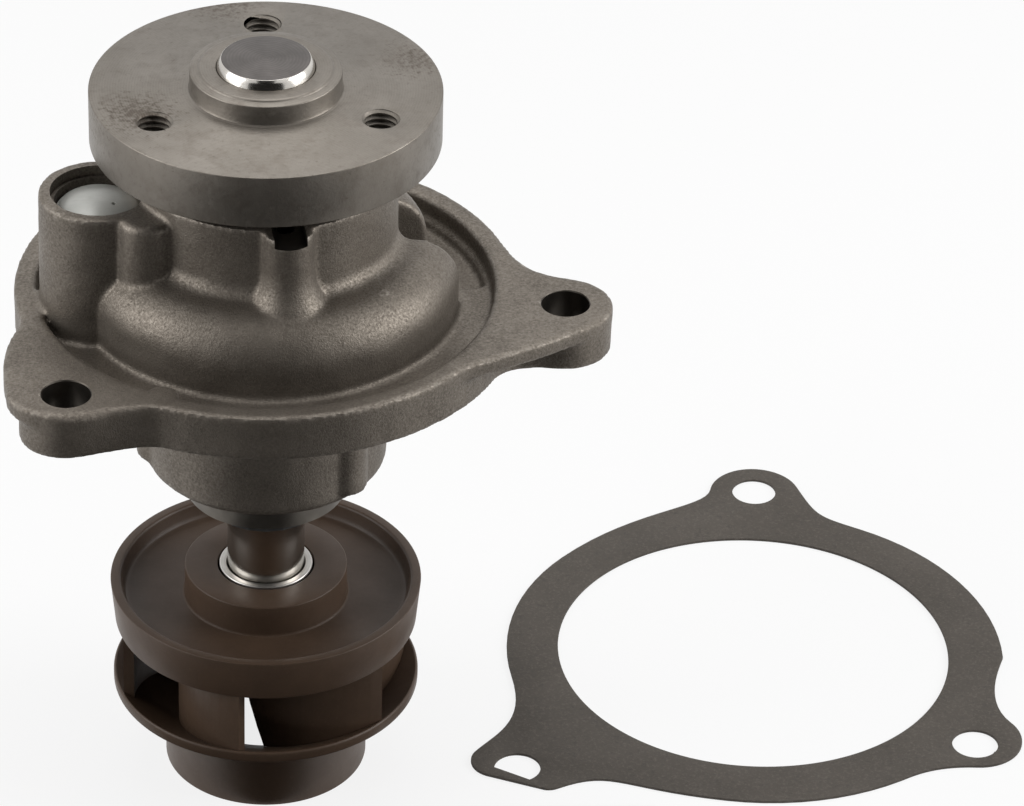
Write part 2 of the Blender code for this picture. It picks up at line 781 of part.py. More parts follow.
# Bearing: sleeve, ball row, roller row and the lip seals that close its ends
track = round_profile((ROW_RADIUS, BALL_LEVEL), BALL_RADIUS + GAP, -TRACK_HALF, TRACK_HALF, GROOVE_STEPS)
bearing_outer_race = turned(
    "bearing_outer_race",
    [
        (RACE_BORE, RACE_SPAN[1]),
        (RACE_RADIUS - EDGE, RACE_SPAN[1]),
        (RACE_RADIUS, RACE_SPAN[1] - EDGE),
        (RACE_RADIUS, RACE_SPAN[0] + EDGE),
        (RACE_RADIUS - EDGE, RACE_SPAN[0]),
        (RACE_BORE, RACE_SPAN[0]),
        *track,
    ],
    STEPS_MEDIUM,
    BEARING_STEEL,
)
for name, low in (
    ("bearing_seal_front", RACE_SPAN[1] - EDGE - LIP_SEAL_HEIGHT),
    ("bearing_seal_rear", RACE_SPAN[0] + EDGE),
):
    turned(
        name,
        [
            (SHAFT_RADIUS + GAP, low + LIP_SEAL_HEIGHT),
            (RACE_BORE - GAP, low + LIP_SEAL_HEIGHT),
            (RACE_BORE - GAP, low),
            (SHAFT_RADIUS + GAP + LIP_SEAL_HEIGHT / 2, low),
            (SHAFT_RADIUS + GAP, low + LIP_SEAL_HEIGHT / 2),
        ],
        STEPS_SMALL,
        SEAL_RUBBER,
    )

ball_row = bpy.data.objects.new("ball_row", None)
roller_row = bpy.data.objects.new("roller_row", None)
pump.objects.link(ball_row)
pump.objects.link(roller_row)


def cage(name, size, height):
    inner, outer, half = size
    return turned(
        name,
        [(inner, height + half), (outer, height + half), (outer, height - half), (inner, height - half)],
        STEPS_MEDIUM,
        CAGE_NYLON,
    )


ball_cage = cage("ball_cage", BALL_CAGE, BALL_LEVEL)
roller_cage = cage("roller_cage", ROLLER_CAGE, ROLLER_LEVEL)
ball_cage.parent = ball_row
roller_cage.parent = roller_row


def ball(name, radius, spot, material=None):
    shape = bmesh.new()
    place = Matrix.Translation((spot.x * MM, spot.y * MM, level(BALL_LEVEL)))
    bmesh.ops.create_uvsphere(
        shape, u_segments=BALL_SIDES[0], v_segments=BALL_SIDES[1], radius=radius * MM, matrix=place
    )
    return keep(mesh_object(name, shape), material)


for number in range(ROW_COUNT):
    spot = polar(ROW_RADIUS, 360.0 / ROW_COUNT * number)
    rolling_ball = ball(f"ball_{number + 1}", BALL_RADIUS, spot, BEARING_STEEL)
    rolling_ball.parent = ball_row
    combine(ball_cage, ball(f"ball_pocket_{number + 1}", BALL_RADIUS + GAP, spot), "DIFFERENCE")
    half = ROLLER_LENGTH / 2
    low = ROLLER_LEVEL - half
    high = ROLLER_LEVEL + half
    roller = cylinder(f"roller_{number + 1}", ROLLER_RADIUS, low, high, spot, ROLLER_SIDES, BEARING_STEEL)
    roller.parent = roller_row
    slot = cylinder(
        f"roller_pocket_{number + 1}", ROLLER_RADIUS + GAP, low - GAP, high + GAP, spot, ROLLER_SIDES
    )
    combine(roller_cage, slot, "DIFFERENCE")

# Shaft seal: pressed sheet cup, spring-loaded carbon face in its bellows, and the turning seat
turned(
    "seal_cup",
    [
        (CUP_BORE, CUP_SPAN[1]),
        (CUP_WALL[1], CUP_SPAN[1]),
        (CUP_WALL[1], CUP_SPAN[0] + CUP_SHEET),
        (CUP_LIP_RADIUS, CUP_SPAN[0] + CUP_SHEET),
        (CUP_LIP_RADIUS, CUP_SPAN[0]),
        (CUP_WALL[0], CUP_SPAN[0]),
        (CUP_WALL[0], CUP_SPAN[1] - CUP_SHEET),
        (CUP_BORE, CUP_SPAN[1] - CUP_SHEET),
    ],
    STEPS_SMALL,
    SEAL_SHEET,
)
turned(
    "seal_bellows",
    [
        (CUP_BORE, BELLOWS_SPAN[1]),
        (BELLOWS_RADIUS, BELLOWS_SPAN[1]),
        (BELLOWS_RADIUS, BELLOWS_SPAN[1] - BELLOWS_LIP),
        (BELLOWS_WAIST, BELLOWS_SPAN[1] - BELLOWS_LIP - EDGE),
        (BELLOWS_WAIST, BELLOWS_SPAN[0] + BELLOWS_LIP + EDGE),
        (BELLOWS_RADIUS, BELLOWS_SPAN[0] + BELLOWS_LIP),
        (BELLOWS_RADIUS, BELLOWS_SPAN[0]),
        (CUP_BORE, BELLOWS_SPAN[0]),
    ],
    STEPS_SMALL,
    SEAL_RUBBER,
)
turned(
    "carbon_ring",
    [
        (CARBON_WALL[0], CARBON_SPAN[1]),
        (CARBON_WALL[1], CARBON_SPAN[1]),
        (CARBON_WALL[1], CARBON_SPAN[0] + 2 * CARBON_FACE),
        (CARBON_WALL[1] - CARBON_FACE, CARBON_SPAN[0]),
        (CARBON_WALL[0] + CARBON_FACE, CARBON_SPAN[0]),
        (CARBON_WALL[0], CARBON_SPAN[0] + 2 * CARBON_FACE),
    ],
    STEPS_SMALL,
    CARBON,
)
seat_ring = turned(
    "seat_ring",
    [
        (SEAT_WALL[0], SEAT_SPAN[1]),
        (SEAT_WALL[1], SEAT_SPAN[1]),
        (SEAT_WALL[1], SEAT_SPAN[0]),
        (SEAT_WALL[0], SEAT_SPAN[0]),
    ],
    STEPS_SMALL,
    CERAMIC,
)
seat_boot = turned(
    "seat_boot",
    [
        (SEAL_END_RADIUS + GAP, BOOT_SPAN[1]),
        (BOOT_NECK_RADIUS, BOOT_SPAN[1]),
        (BOOT_NECK_RADIUS, BOOT_FLANGE[1]),
        (BOOT_FLANGE[0], BOOT_FLANGE[1]),
        (BOOT_FLANGE[0], BOOT_SPAN[0]),
        (SEAL_END_RADIUS + GAP, BOOT_SPAN[0]),
    ],
    STEPS_SMALL,
    SEAL_RUBBER,
)


def seal_spring():
    """A coil of round wire between the cup's end and the carbon face, one unbroken tube."""
    curve = bpy.data.curves.new("seal_spring", "CURVE")
    curve.dimensions = "3D"
    curve.bevel_depth = SPRING_WIRE_RADIUS * MM
    curve.bevel_resolution = 1
    curve.use_fill_caps = True
    count = round(SPRING_TURNS * SPRING_POINTS_A_TURN)
    spline = curve.splines.new("POLY")
    spline.points.add(count)
    rise = SPRING_SPAN[1] - SPRING_SPAN[0]
    for i, point in enumerate(spline.points):
        spot = polar(SPRING_RADIUS, 360.0 * i / SPRING_POINTS_A_TURN) * MM
        point.co = (spot.x, spot.y, level(SPRING_SPAN[0] + rise * i / count), 1.0)
    print("seal_spring: least gap between turns, mm:", rise / SPRING_TURNS - 2 * SPRING_WIRE_RADIUS)
    keep(bpy.data.objects.new("seal_spring", curve), SEAL_SHEET)


seal_spring()

# Impeller: moulded disc with swept vanes, moulded shroud ring, steel insert pressed on the shaft
impeller_insert = turned(
    "impeller_insert",
    [
        (SEAL_END_RADIUS + GAP, HUB_TOP + INSERT_PROUD),
        (INSERT_RADIUS, HUB_TOP + INSERT_PROUD),
        (INSERT_RADIUS, HUB_BOTTOM + INSERT_PROUD),
        (SEAL_END_RADIUS + GAP, HUB_BOTTOM + INSERT_PROUD),
    ],
    STEPS_SMALL,
    GROUND_STEEL,
)
impeller_disc = turned(
    "impeller_disc",
    [
        (INSERT_RADIUS + GAP, HUB_TOP),
        (HUB_RADIUS - MOULD_EDGE, HUB_TOP),
        (HUB_RADIUS, HUB_TOP - MOULD_EDGE),
        (HUB_RADIUS, DISH_FLOOR + EDGE),
        (HUB_RADIUS + EDGE, DISH_FLOOR),
        *[(radius, DISH_FLOOR + rise) for radius, rise in DISH_WALL],
        (RIM_RADIUS - MOULD_EDGE, RIM_TOP),
        (RIM_RADIUS, RIM_TOP - MOULD_EDGE),
        (DISC_UNDERSIDE_RADIUS, DISC_UNDERSIDE + MOULD_EDGE),
        (DISC_UNDERSIDE_RADIUS - MOULD_EDGE, DISC_UNDERSIDE),
        (HUB_TAPER[0], DISC_UNDERSIDE),
        (HUB_TAPER[1], HUB_BOTTOM),
        (INSERT_RADIUS + GAP, HUB_BOTTOM),
    ],
    STEPS_LARGE,
    BROWN_PLASTIC,
)
shroud_lip = SHROUD_RADIUS - MOULD_EDGE
shroud_slope = SHROUD_FALL / (shroud_lip - EYE_BORE)
impeller_shroud = turned(
    "impeller_shroud",
    [
        (shroud_lip, SHROUD_TOP),
        (SHROUD_RADIUS, SHROUD_TOP - MOULD_EDGE),
        (SHROUD_RADIUS, SHROUD_TOP - SHROUD_EDGE),
        (EYE_RADIUS, SHROUD_TOP - SHROUD_EDGE - shroud_slope * (SHROUD_RADIUS - EYE_RADIUS)),
        (EYE_RADIUS, MOULD_EDGE),
        (EYE_RADIUS - MOULD_EDGE, 0.0),
        (EYE_BORE, 0.0),
        (EYE_BORE, SHROUD_TOP - SHROUD_FALL),
    ],
    STEPS_LARGE,
    BROWN_PLASTIC,
)


def shroud_height(radius):
    """Height of the funnel face that the vanes stand on."""
    return SHROUD_TOP - shroud_slope * (shroud_lip - radius)


def vane_edges(radius, tip_angle):
    """Both faces of a swept vane at a radius, in plan."""
    swept = VANE_SWEEP * (VANE_TIP_RADIUS - radius) / (VANE_TIP_RADIUS - VANE_INNER_AT_SHROUD)
    angle = tip_angle - swept
    slope = math.radians(VANE_SWEEP) / (VANE_TIP_RADIUS - VANE_INNER_AT_SHROUD) * radius
    lean = math.degrees(math.atan(slope))
    across = polar(VANE_THICKNESS / 2, angle + lean + 90.0)
    middle = polar(radius, angle)
    return middle + across, middle - across


def vane(tip_angle):
    """Sections of one vane from its slanted inner edge out to its tip."""
    high = level(DISC_UNDERSIDE + VANE_ROOT)
    sections = []
    for i in range(VANE_STATIONS + 1):
        out = i / VANE_STATIONS
        at_shroud = VANE_INNER_AT_SHROUD + (VANE_TIP_RADIUS - VANE_INNER_AT_SHROUD) * out
        at_disc = VANE_INNER_AT_DISC + (VANE_TIP_RADIUS - VANE_INNER_AT_DISC) * out
        left_low, right_low = vane_edges(at_shroud, tip_angle)
        left_high, right_high = vane_edges(at_disc, tip_angle)
        corners = (
            (left_low, level(shroud_height(left_low.length) + WELD_GAP)),
            (right_low, level(shroud_height(right_low.length) + WELD_GAP)),
            (right_high, high),
            (left_high, high),
        )
        sections.append([Vector((p.x * MM, p.y * MM, z)) for p, z in corners])
    return sections


vanes = lofted("vanes", *[vane(VANE_TIP_ANGLE + 360.0 / VANES * number) for number in range(VANES)])
combine(impeller_disc, vanes, "UNION")

for piece in (
    shaft,
    drive_flange,
    slinger,
    seat_ring,
    seat_boot,
    impeller_insert,
    impeller_disc,
    impeller_shroud,
):
    piece.parent = rotor

# Gasket: the flange's ears and bolt holes, cut in sheet, turned over and laid flat
gasket = plate(
    "gasket",
    flange_outline(GASKET_RADIUS, GASKET_REACH, GASKET_RING_MIDDLE),
    0.0,
    GASKET_THICKNESS,
    GASKET_PAPER,
    holes=[circle(GASKET_BORE, STEPS_LARGE, GASKET_BORE_MIDDLE)]
    + [circle(GASKET_HOLE_RADIUS, EAR_HOLE_SIDES, ear["hole"]) for ear in EARS],
)
gasket.location.x = GASKET_PLACE[0] * MM
gasket.location.y = GASKET_PLACE[1] * MM
gasket.rotation_euler = (math.pi, 0.0, math.radians(GASKET_TURN))
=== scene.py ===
import math

import bpy
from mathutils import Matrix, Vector
from mathutils.geometry import interpolate_bezier


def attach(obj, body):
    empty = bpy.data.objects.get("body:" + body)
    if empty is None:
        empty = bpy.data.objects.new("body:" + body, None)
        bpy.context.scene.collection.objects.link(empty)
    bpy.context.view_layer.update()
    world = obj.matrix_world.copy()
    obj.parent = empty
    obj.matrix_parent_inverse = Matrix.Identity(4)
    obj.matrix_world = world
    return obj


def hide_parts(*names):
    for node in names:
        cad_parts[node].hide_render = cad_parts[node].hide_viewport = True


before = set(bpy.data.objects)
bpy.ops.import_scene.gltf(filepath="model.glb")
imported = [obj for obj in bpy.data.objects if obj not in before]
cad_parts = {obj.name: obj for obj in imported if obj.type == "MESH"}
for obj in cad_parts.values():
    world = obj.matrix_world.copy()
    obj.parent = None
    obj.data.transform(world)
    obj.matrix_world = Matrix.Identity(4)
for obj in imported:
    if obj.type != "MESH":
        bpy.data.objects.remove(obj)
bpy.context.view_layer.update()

# Housing casting: one sand casting with the flange and its three bolt ears, the bearing boss, the
# volute that swells round it, the weep reservoir and the seal carrier below. The cast skin is left
# sandy; the bores, the bolt holes and the gasket face are machined.
MM = 0.001
SHAFT_END = 133.3
OVER = 2.0
SEAM = 0.002 * MM
FLANGE_RADIUS, FLANGE_TOP, GASKET_FACE = 40.2, 92.3, 84.5
LOWER_INSET, LOWER_DROP = 0.05, 0.5
RECESS_RADIUS, RECESS_DRAFT, RECESS_FLOOR = 36.4, 0.4, 89.0
POCKET_INNER, POCKET_OUTER, POCKET_FLOOR, POCKET_SPAN = 23.0, 35.5, 87.6, (6.4, 62.0)
FACE_INNER, PLATE_UNDERSIDE = 33.8, 85.6
BOSS_RADIUS, BOSS_TOP, BOSS_ROOT = 21.0, 114.5, 86.6
CARRIER_RADIUS, CARRIER_FOOT, CARRIER_EDGE = 20.2, 19.6, 0.8
CARRIER_TOP, CARRIER_BOTTOM, CARRIER_CORE_LOW = 90.0, 59.8, 80.0
CARRIER_RIBS, RIB_RADIUS, RIB_CENTRE, RIB_SPAN = (-44.0, -172.0, 68.0), 3.9, 17.3, (61.3, 87.2)
NOSE_RADIUS, NOSE_BOTTOM, NOSE_ALLOWANCE = 13.1, 53.2, 0.5
NOSE_CUT, NOSE_CUT_BELOW = 5.0, 0.3
VOLUTE_SPAN, VOLUTE_REACH, VOLUTE_TOP = (16.0, 357.0), (26.8, 30.9), (104.0, 101.2)
VOLUTE_ROUND, VOLUTE_WALL, VOLUTE_INNER, VOLUTE_ROOT = 7.2, 3.7, 18.4, 86.9
VOLUTE_FILLET = 2.4
CHANNEL_INNER, CHANNEL_END_WALL = 21.7, 7.0
RESERVOIR, RESERVOIR_RADIUS, RESERVOIR_DRAFT = (-26.3, -4.7), 9.5, 0.25
RESERVOIR_TOP, RESERVOIR_ROOT = 112.0, 86.3
RESERVOIR_RIM, RESERVOIR_STEP, RESERVOIR_BORE, RESERVOIR_FLOOR = 7.7, 110.2, 7.1, 105.0
CAP_SEAT, CAP_SEAT_RADIUS = 108.2, 6.2
WEB = ((-26.3, -13.3), (-12.0, -13.3), (-12.0, 3.6), (-26.3, 3.6))
WEB_ROOT, WEB_TOP = 96.0, 111.8
WEEP_ANGLE, WEEP_RADIUS, WEEP_CENTRE = -80.3, 4.1, 20.0
WEEP_FOOT = ((0.0, 114.2), (0.0, 107.0), (0.3, 105.0), (0.9, 103.4), (1.7, 102.2), (2.4, 100.4), (2.4, 98.0))
WEEP_NOTCH_HALF, WEEP_NOTCH_FLOOR, WEEP_NOTCH_SPAN = 2.6, 112.6, (13.5, 27.0)
WEEP_HOLE_CENTRE, WEEP_HOLE_RADIUS, WEEP_HOLE_END, WEEP_CROSS_LEVEL = 17.6, 1.4, 69.7, 70.4
PAD_RADIUS, PAD_TOP, PAD_ROOT, PAD_CENTRE, PAD_ANGLE = 2.6, 92.2, 86.3, 36.6, -116.0
BEARING_BORE, BEARING_SEAT, SEAL_BORE = 15.3, 74.2, 10.9
BORE_LEAD, BORE_STEP = 0.8, 0.3
LOBE, LOBE_RADIUS, LOBE_EDGE, LOBE_DRAFT = (-18.6, -12.0), 4.6, 0.8, 0.5
LOBE_TOP, LOBE_ROOT = 112.0, 94.0
EAR_HOLE, EAR_CHAMFER = 3.85, 0.15
SAND_LUMP, SKIN_GRAIN, SKIN_UNEVEN, SKIN_KEPT = 3.2, 0.45, 0.16, 0.55
EARS = (
    {"hole": (-30.9, -33.1), "tips": [((-32.7, -31.5), 7.6, 189.0, 279.0)],
     "roots": (-166.0, -112.0), "reach": (5.0, 17.0, 5.0, 5.0)},
    {"hole": (47.7, -6.6), "tips": [((47.4, -6.5), 7.9, -53.0, 75.5)],
     "roots": (-41.0, 20.0), "reach": (3.0, 14.0, 8.0, 8.5)},
    {"hole": (0.8, 56.1), "tips": [((0.8, 56.1), 7.6, 20.0, 160.0)],
     "roots": (64.0, 116.0), "reach": (6.0, 12.0, 12.0, 6.0)},
)
WEB_UNDERSIDE = 89.5
LOWER_EARS = (
    {"tips": [((-31.2, -32.6), 7.2, 170.0, 279.0)],
     "roots": (-150.0, -112.0), "reach": (4.0, 4.0, 5.0, 5.0)},
    {"tips": [((47.4, -6.5), 7.8, -100.0, 75.5)],
     "roots": (-26.0, 20.0), "reach": (4.0, 4.0, 8.0, 8.5)},
    EARS[2],
)


def level(height):
    """Height above the standing surface in millimetres, as a Z of the frame."""
    return (height - SHAFT_END) * MM


def polar(radius, degrees):
    angle = math.radians(degrees)
    return Vector((radius * math.cos(angle), radius * math.sin(angle)))


def chain(name, points):
    """One vertex, extruded from point to point."""
    bpy.ops.object.select_all(action="DESELECT")
    bpy.ops.mesh.primitive_plane_add(size=MM)
    piece = bpy.context.object
    piece.name = name
    piece.data.name = name
    bpy.ops.object.mode_set(mode="EDIT")
    bpy.ops.mesh.select_all(action="SELECT")
    bpy.ops.mesh.merge(type="CENTER")
    bpy.ops.transform.translate(value=points[0])
    for start, end in zip(points, points[1:]):
        bpy.ops.mesh.extrude_vertices_move(TRANSFORM_OT_translate={"value": end - start})
    return piece


def close_up():
    """Merges the seam of the piece in edit mode and turns its faces outwards."""
    bpy.ops.mesh.select_all(action="SELECT")
    bpy.ops.mesh.remove_doubles(threshold=SEAM)
    bpy.ops.mesh.normals_make_consistent(inside=False)
    bpy.ops.object.mode_set(mode="OBJECT")


def turned(name, profile, steps=128, at=(0.0, 0.0)):
    """A half-section of (radius, height) points, spun round an upright axis."""
    loop = profile if profile[0][0] == 0.0 else [*profile, profile[0]]
    x, y = at
    piece = chain(name, [Vector(((x + r) * MM, y * MM, level(h))) for r, h in loop])
    bpy.ops.mesh.select_all(action="SELECT")
    bpy.ops.mesh.spin(steps=steps, angle=math.tau, center=(x * MM, y * MM, 0.0), axis=(0.0, 0.0, 1.0))
    close_up()
    return piece


def plate(name, outline, low, high):
    """A closed flat outline, filled and extruded to its thickness."""
    points = [Vector((x * MM, y * MM, level(low))) for x, y in outline]
    piece = chain(name, [*points, points[0]])
    bpy.ops.mesh.select_all(action="SELECT")
    bpy.ops.mesh.remove_doubles(threshold=SEAM)
    bpy.ops.mesh.edge_face_add()
    bpy.ops.mesh.extrude_region_move(TRANSFORM_OT_translate={"value": (0.0, 0.0, (high - low) * MM)})
    close_up()
    return piece


def lying_rod(name, radius, angle, height, reach):
    """A round tool along a radius of the shaft's axis."""
    middle = polar((reach[0] + reach[1]) / 2, angle)
    bpy.ops.object.select_all(action="DESELECT")
    bpy.ops.mesh.primitive_cylinder_add(
        vertices=48,
        radius=radius * MM,
        depth=(reach[1] - reach[0]) * MM,
        location=(middle.x * MM, middle.y * MM, level(height)),
        rotation=(0.0, math.pi / 2, math.radians(angle)),
    )
    bpy.ops.object.transform_apply(location=True, rotation=True, scale=True)
    bpy.context.object.name = name
    return bpy.context.object


def apply_modifiers(piece):
    bpy.context.view_layer.objects.active = piece
    for step in list(piece.modifiers):
        bpy.ops.object.modifier_apply(modifier=step.name)


def combine(piece, operation, *tools):
    """Welds tools to a piece or cuts them out of it, then drops the tools."""
    for tool in tools:
        step = piece.modifiers.new("combine", "BOOLEAN")
        step.operation = operation
        step.solver = "EXACT"
        step.material_mode = "TRANSFER"
        step.object = tool
        apply_modifiers(piece)
        bpy.data.objects.remove(tool)


def arc(centre, radius, start, end, step=4.0):
    count = max(2, round(abs(end - start) / step))
    return [Vector(centre) + polar(radius, start + (end - start) * i / count) for i in range(count + 1)]


def heading(degrees):
    return polar(1.0, degrees + 90.0)


def flank(start, start_way, start_reach, end, end_way, end_reach):
    points = interpolate_bezier(start, start + start_way * start_reach, end - end_way * end_reach, end, 16)
    return [p.xy for p in points[1:-1]]


def flange_outline(ears, ring, middle=(0.0, 0.0)):
    """A ring with its ears, anticlockwise from the first ear's root."""
    middle = Vector(middle)
    outline = []
    for ear, following in zip(ears, ears[1:] + ears[:1]):
        ring_in, ring_out = ear["roots"]
        tip = []
        for centre, radius, start, end in ear["tips"]:
            tip += arc(centre, radius, start, end, 6.0)
        tip_in, tip_out = ear["tips"][0][2], ear["tips"][-1][3]
        reach = ear["reach"]
        root_in = middle + polar(ring, ring_in)
        root_out = middle + polar(ring, ring_out)
        outline += flank(root_in, heading(ring_in), reach[0], tip[0], heading(tip_in), reach[1])
        outline += tip
        outline += flank(tip[-1], heading(tip_out), reach[2], root_out, heading(ring_out), reach[3])
        next_root = following["roots"][0]
        next_root += 360.0 if next_root < ring_out else 0.0
        outline += arc(middle, ring, ring_out, next_root)
    return outline


def ring_piece(name, corners, span, steps):
    """A closed section of (radius, height) corners, spun through part of a turn, its ends filled."""
    first, last = span
    way = polar(1.0, first)
    points = [Vector((way.x * r * MM, way.y * r * MM, level(h))) for r, h in [*corners, corners[0]]]
    piece = chain(name, points)
    bpy.ops.mesh.select_all(action="SELECT")
    bpy.ops.mesh.remove_doubles(threshold=SEAM)
    sweep = math.radians(last - first)
    bpy.ops.mesh.spin(steps=steps, angle=-sweep, center=(0.0, 0.0, 0.0), axis=(0.0, 0.0, 1.0))
    bpy.ops.mesh.select_all(action="DESELECT")
    bpy.ops.mesh.select_non_manifold(extend=False)
    bpy.ops.mesh.fill_holes(sides=0)
    close_up()
    return piece


def volute_section(grown, wall, inner, low, fillet):
    """The volute's section, from its tongue (0) to its outlet end (1): a round shoulder that runs into
    the boss by a fillet, or a plain round one for the channel inside."""
    reach = VOLUTE_REACH[0] + (VOLUTE_REACH[1] - VOLUTE_REACH[0]) * math.sqrt(grown) - wall
    top = VOLUTE_TOP[0] + (VOLUTE_TOP[1] - VOLUTE_TOP[0]) * grown - wall
    corner = min(VOLUTE_ROUND - wall, reach - inner - 0.5)
    centre = Vector((reach - corner, top - corner))
    side = BOSS_RADIUS + fillet - centre.x
    if fillet and side > 0.0:
        rise = math.sqrt((corner + fillet) ** 2 - side**2)
        meeting = math.degrees(math.atan2(rise, side))
    else:
        rise = corner + fillet
        meeting = 90.0
    section = [Vector((inner, low)), Vector((reach, low))]
    section += arc(centre, corner, 0.0, meeting, meeting / 10)
    if fillet:
        hollow = (BOSS_RADIUS + fillet, centre.y + rise)
        section += arc(hollow, fillet, meeting - 180.0, -180.0, meeting / 6)
    return [*section, Vector((inner, centre.y + rise))]


def volute(name, wall, end_wall, inner, low, fillet):
    """The tongue's section spun round the boss, each copy then given the shape of its own angle."""
    span = (VOLUTE_SPAN[0] + end_wall, VOLUTE_SPAN[1] - end_wall)
    tongue = volute_section(0.0, wall, inner, low, fillet)
    piece = ring_piece(name, tongue, span, 120)
    for vertex in piece.data.vertices:
        plan = vertex.co.xy
        degrees = math.degrees(math.atan2(plan.y, plan.x)) % 360.0
        grown = min(max((degrees - VOLUTE_SPAN[0]) / (VOLUTE_SPAN[1] - VOLUTE_SPAN[0]), 0.0), 1.0)
        spot = Vector((plan.length / MM, vertex.co.z / MM + SHAFT_END))
        nearest = min(range(len(tongue)), key=lambda i: (tongue[i] - spot).length)
        radius, height = volute_section(grown, wall, inner, low, fillet)[nearest]
        vertex.co = (*(plan.normalized() * radius * MM), level(height))
    return piece


housing = plate("housing_casting", flange_outline(EARS, FLANGE_RADIUS), WEB_UNDERSIDE, FLANGE_TOP)
lower_outline = flange_outline(LOWER_EARS, FLANGE_RADIUS - LOWER_INSET)
lower = plate("flange_body", lower_outline, GASKET_FACE, FLANGE_TOP - LOWER_DROP)
combine(housing, "UNION", lower)
recess = turned("recess", [(0.0, FLANGE_TOP + OVER), (RECESS_RADIUS + RECESS_DRAFT, FLANGE_TOP + OVER),
                           (RECESS_RADIUS, RECESS_FLOOR), (0.0, RECESS_FLOOR)])
pocket = ring_piece("pocket", [(POCKET_INNER, POCKET_FLOOR), (POCKET_OUTER, POCKET_FLOOR),
                               (POCKET_OUTER, FLANGE_TOP + OVER), (POCKET_INNER, FLANGE_TOP + OVER)],
                    POCKET_SPAN, 24)
combine(housing, "DIFFERENCE", recess, pocket)

carrier = turned("carrier", [(0.0, CARRIER_TOP), (CARRIER_RADIUS, CARRIER_TOP),
                             (CARRIER_FOOT, CARRIER_BOTTOM + CARRIER_EDGE),
                             (CARRIER_FOOT - CARRIER_EDGE, CARRIER_BOTTOM),
                             (NOSE_RADIUS + NOSE_ALLOWANCE, CARRIER_BOTTOM),
                             (NOSE_RADIUS + NOSE_ALLOWANCE, NOSE_BOTTOM - NOSE_ALLOWANCE),
                             (0.0, NOSE_BOTTOM - NOSE_ALLOWANCE)])
carrier_ribs = [turned("carrier_rib", [(0.0, RIB_SPAN[1]), (RIB_RADIUS, RIB_SPAN[1]),
                                       (RIB_RADIUS, RIB_SPAN[0]), (0.0, RIB_SPAN[0])],
                       40, polar(RIB_CENTRE, angle)) for angle in CARRIER_RIBS]
boss = turned("boss", [(0.0, BOSS_TOP), (BOSS_RADIUS, BOSS_TOP),
                       (BOSS_RADIUS, BOSS_ROOT), (0.0, BOSS_ROOT)])
swelling = volute("volute", 0.0, 0.0, VOLUTE_INNER, VOLUTE_ROOT, VOLUTE_FILLET)
reservoir = turned("reservoir", [(0.0, RESERVOIR_TOP), (RESERVOIR_RADIUS, RESERVOIR_TOP),
                                 (RESERVOIR_RADIUS + RESERVOIR_DRAFT, RESERVOIR_ROOT), (0.0, RESERVOIR_ROOT)],
                   80, RESERVOIR)
lobe = turned("lobe", [(0.0, LOBE_TOP), (LOBE_RADIUS - LOBE_EDGE, LOBE_TOP), (LOBE_RADIUS, LOBE_TOP - LOBE_EDGE),
                       (LOBE_RADIUS + LOBE_DRAFT, LOBE_ROOT), (0.0, LOBE_ROOT)], 48, LOBE)
web = plate("web", WEB, WEB_ROOT, WEB_TOP)
weep_rib = turned("weep_rib", [(0.0, WEEP_FOOT[0][1]), *[(WEEP_RADIUS + out, h) for out, h in WEEP_FOOT],
                               (0.0, WEEP_FOOT[-1][1])],
                  56, polar(WEEP_CENTRE, WEEP_ANGLE))
recess_pad = turned("recess_pad", [(0.0, PAD_TOP), (PAD_RADIUS, PAD_TOP), (PAD_RADIUS, PAD_ROOT), (0.0, PAD_ROOT)],
                    32, polar(PAD_CENTRE, PAD_ANGLE))
combine(housing, "UNION", carrier, *carrier_ribs, boss, swelling, reservoir, web, lobe, weep_rib, recess_pad)

channel = volute("channel", VOLUTE_WALL, CHANNEL_END_WALL, CHANNEL_INNER, GASKET_FACE - OVER, 0.0)
face_step = turned("face_step", [(0.0, PLATE_UNDERSIDE), (FACE_INNER, PLATE_UNDERSIDE),
                                 (FACE_INNER, GASKET_FACE - OVER), (0.0, GASKET_FACE - OVER)])
carrier_core = turned("carrier_core", [(0.0, CARRIER_TOP), (CARRIER_RADIUS, CARRIER_TOP),
                                       (CARRIER_RADIUS, CARRIER_CORE_LOW), (0.0, CARRIER_CORE_LOW)])
combine(face_step, "DIFFERENCE", carrier_core)
combine(housing, "DIFFERENCE", channel)

sand = bpy.data.textures.new("cast_unevenness", "CLOUDS")
sand.noise_scale = SAND_LUMP * MM
sand.noise_depth = 3
skin = housing.modifiers.new("cast_skin", "REMESH")
skin.mode = "VOXEL"
skin.voxel_size = SKIN_GRAIN * MM
skin.use_smooth_shade = True
soften = housing.modifiers.new("soft_edges", "SMOOTH")
soften.factor = 0.5
soften.iterations = 5
uneven = housing.modifiers.new("uneven", "DISPLACE")
uneven.texture = sand
uneven.strength = SKIN_UNEVEN * MM
uneven.mid_level = 0.5
thin = housing.modifiers.new("thin", "DECIMATE")
thin.ratio = SKIN_KEPT
apply_modifiers(housing)


def new_finish(name):
    finish = bpy.data.materials.new(name)
    finish.use_nodes = True
    return finish, finish.node_tree, finish.node_tree.nodes["Principled BSDF"]


def place(tree, stretch=(1.0, 1.0, 1.0), centre=(0.0, 0.0, 0.0)):
    """Object coordinates, moved to a centre and stretched."""
    coordinates = tree.nodes.new("ShaderNodeTexCoord")
    mapping = tree.nodes.new("ShaderNodeMapping")
    mapping.vector_type = "POINT"
    mapping.inputs["Location"].default_value = [-c * s for c, s in zip(centre, stretch)]
    mapping.inputs["Scale"].default_value = stretch
    tree.links.new(coordinates.outputs["Object"], mapping.inputs["Vector"])
    return mapping.outputs["Vector"]


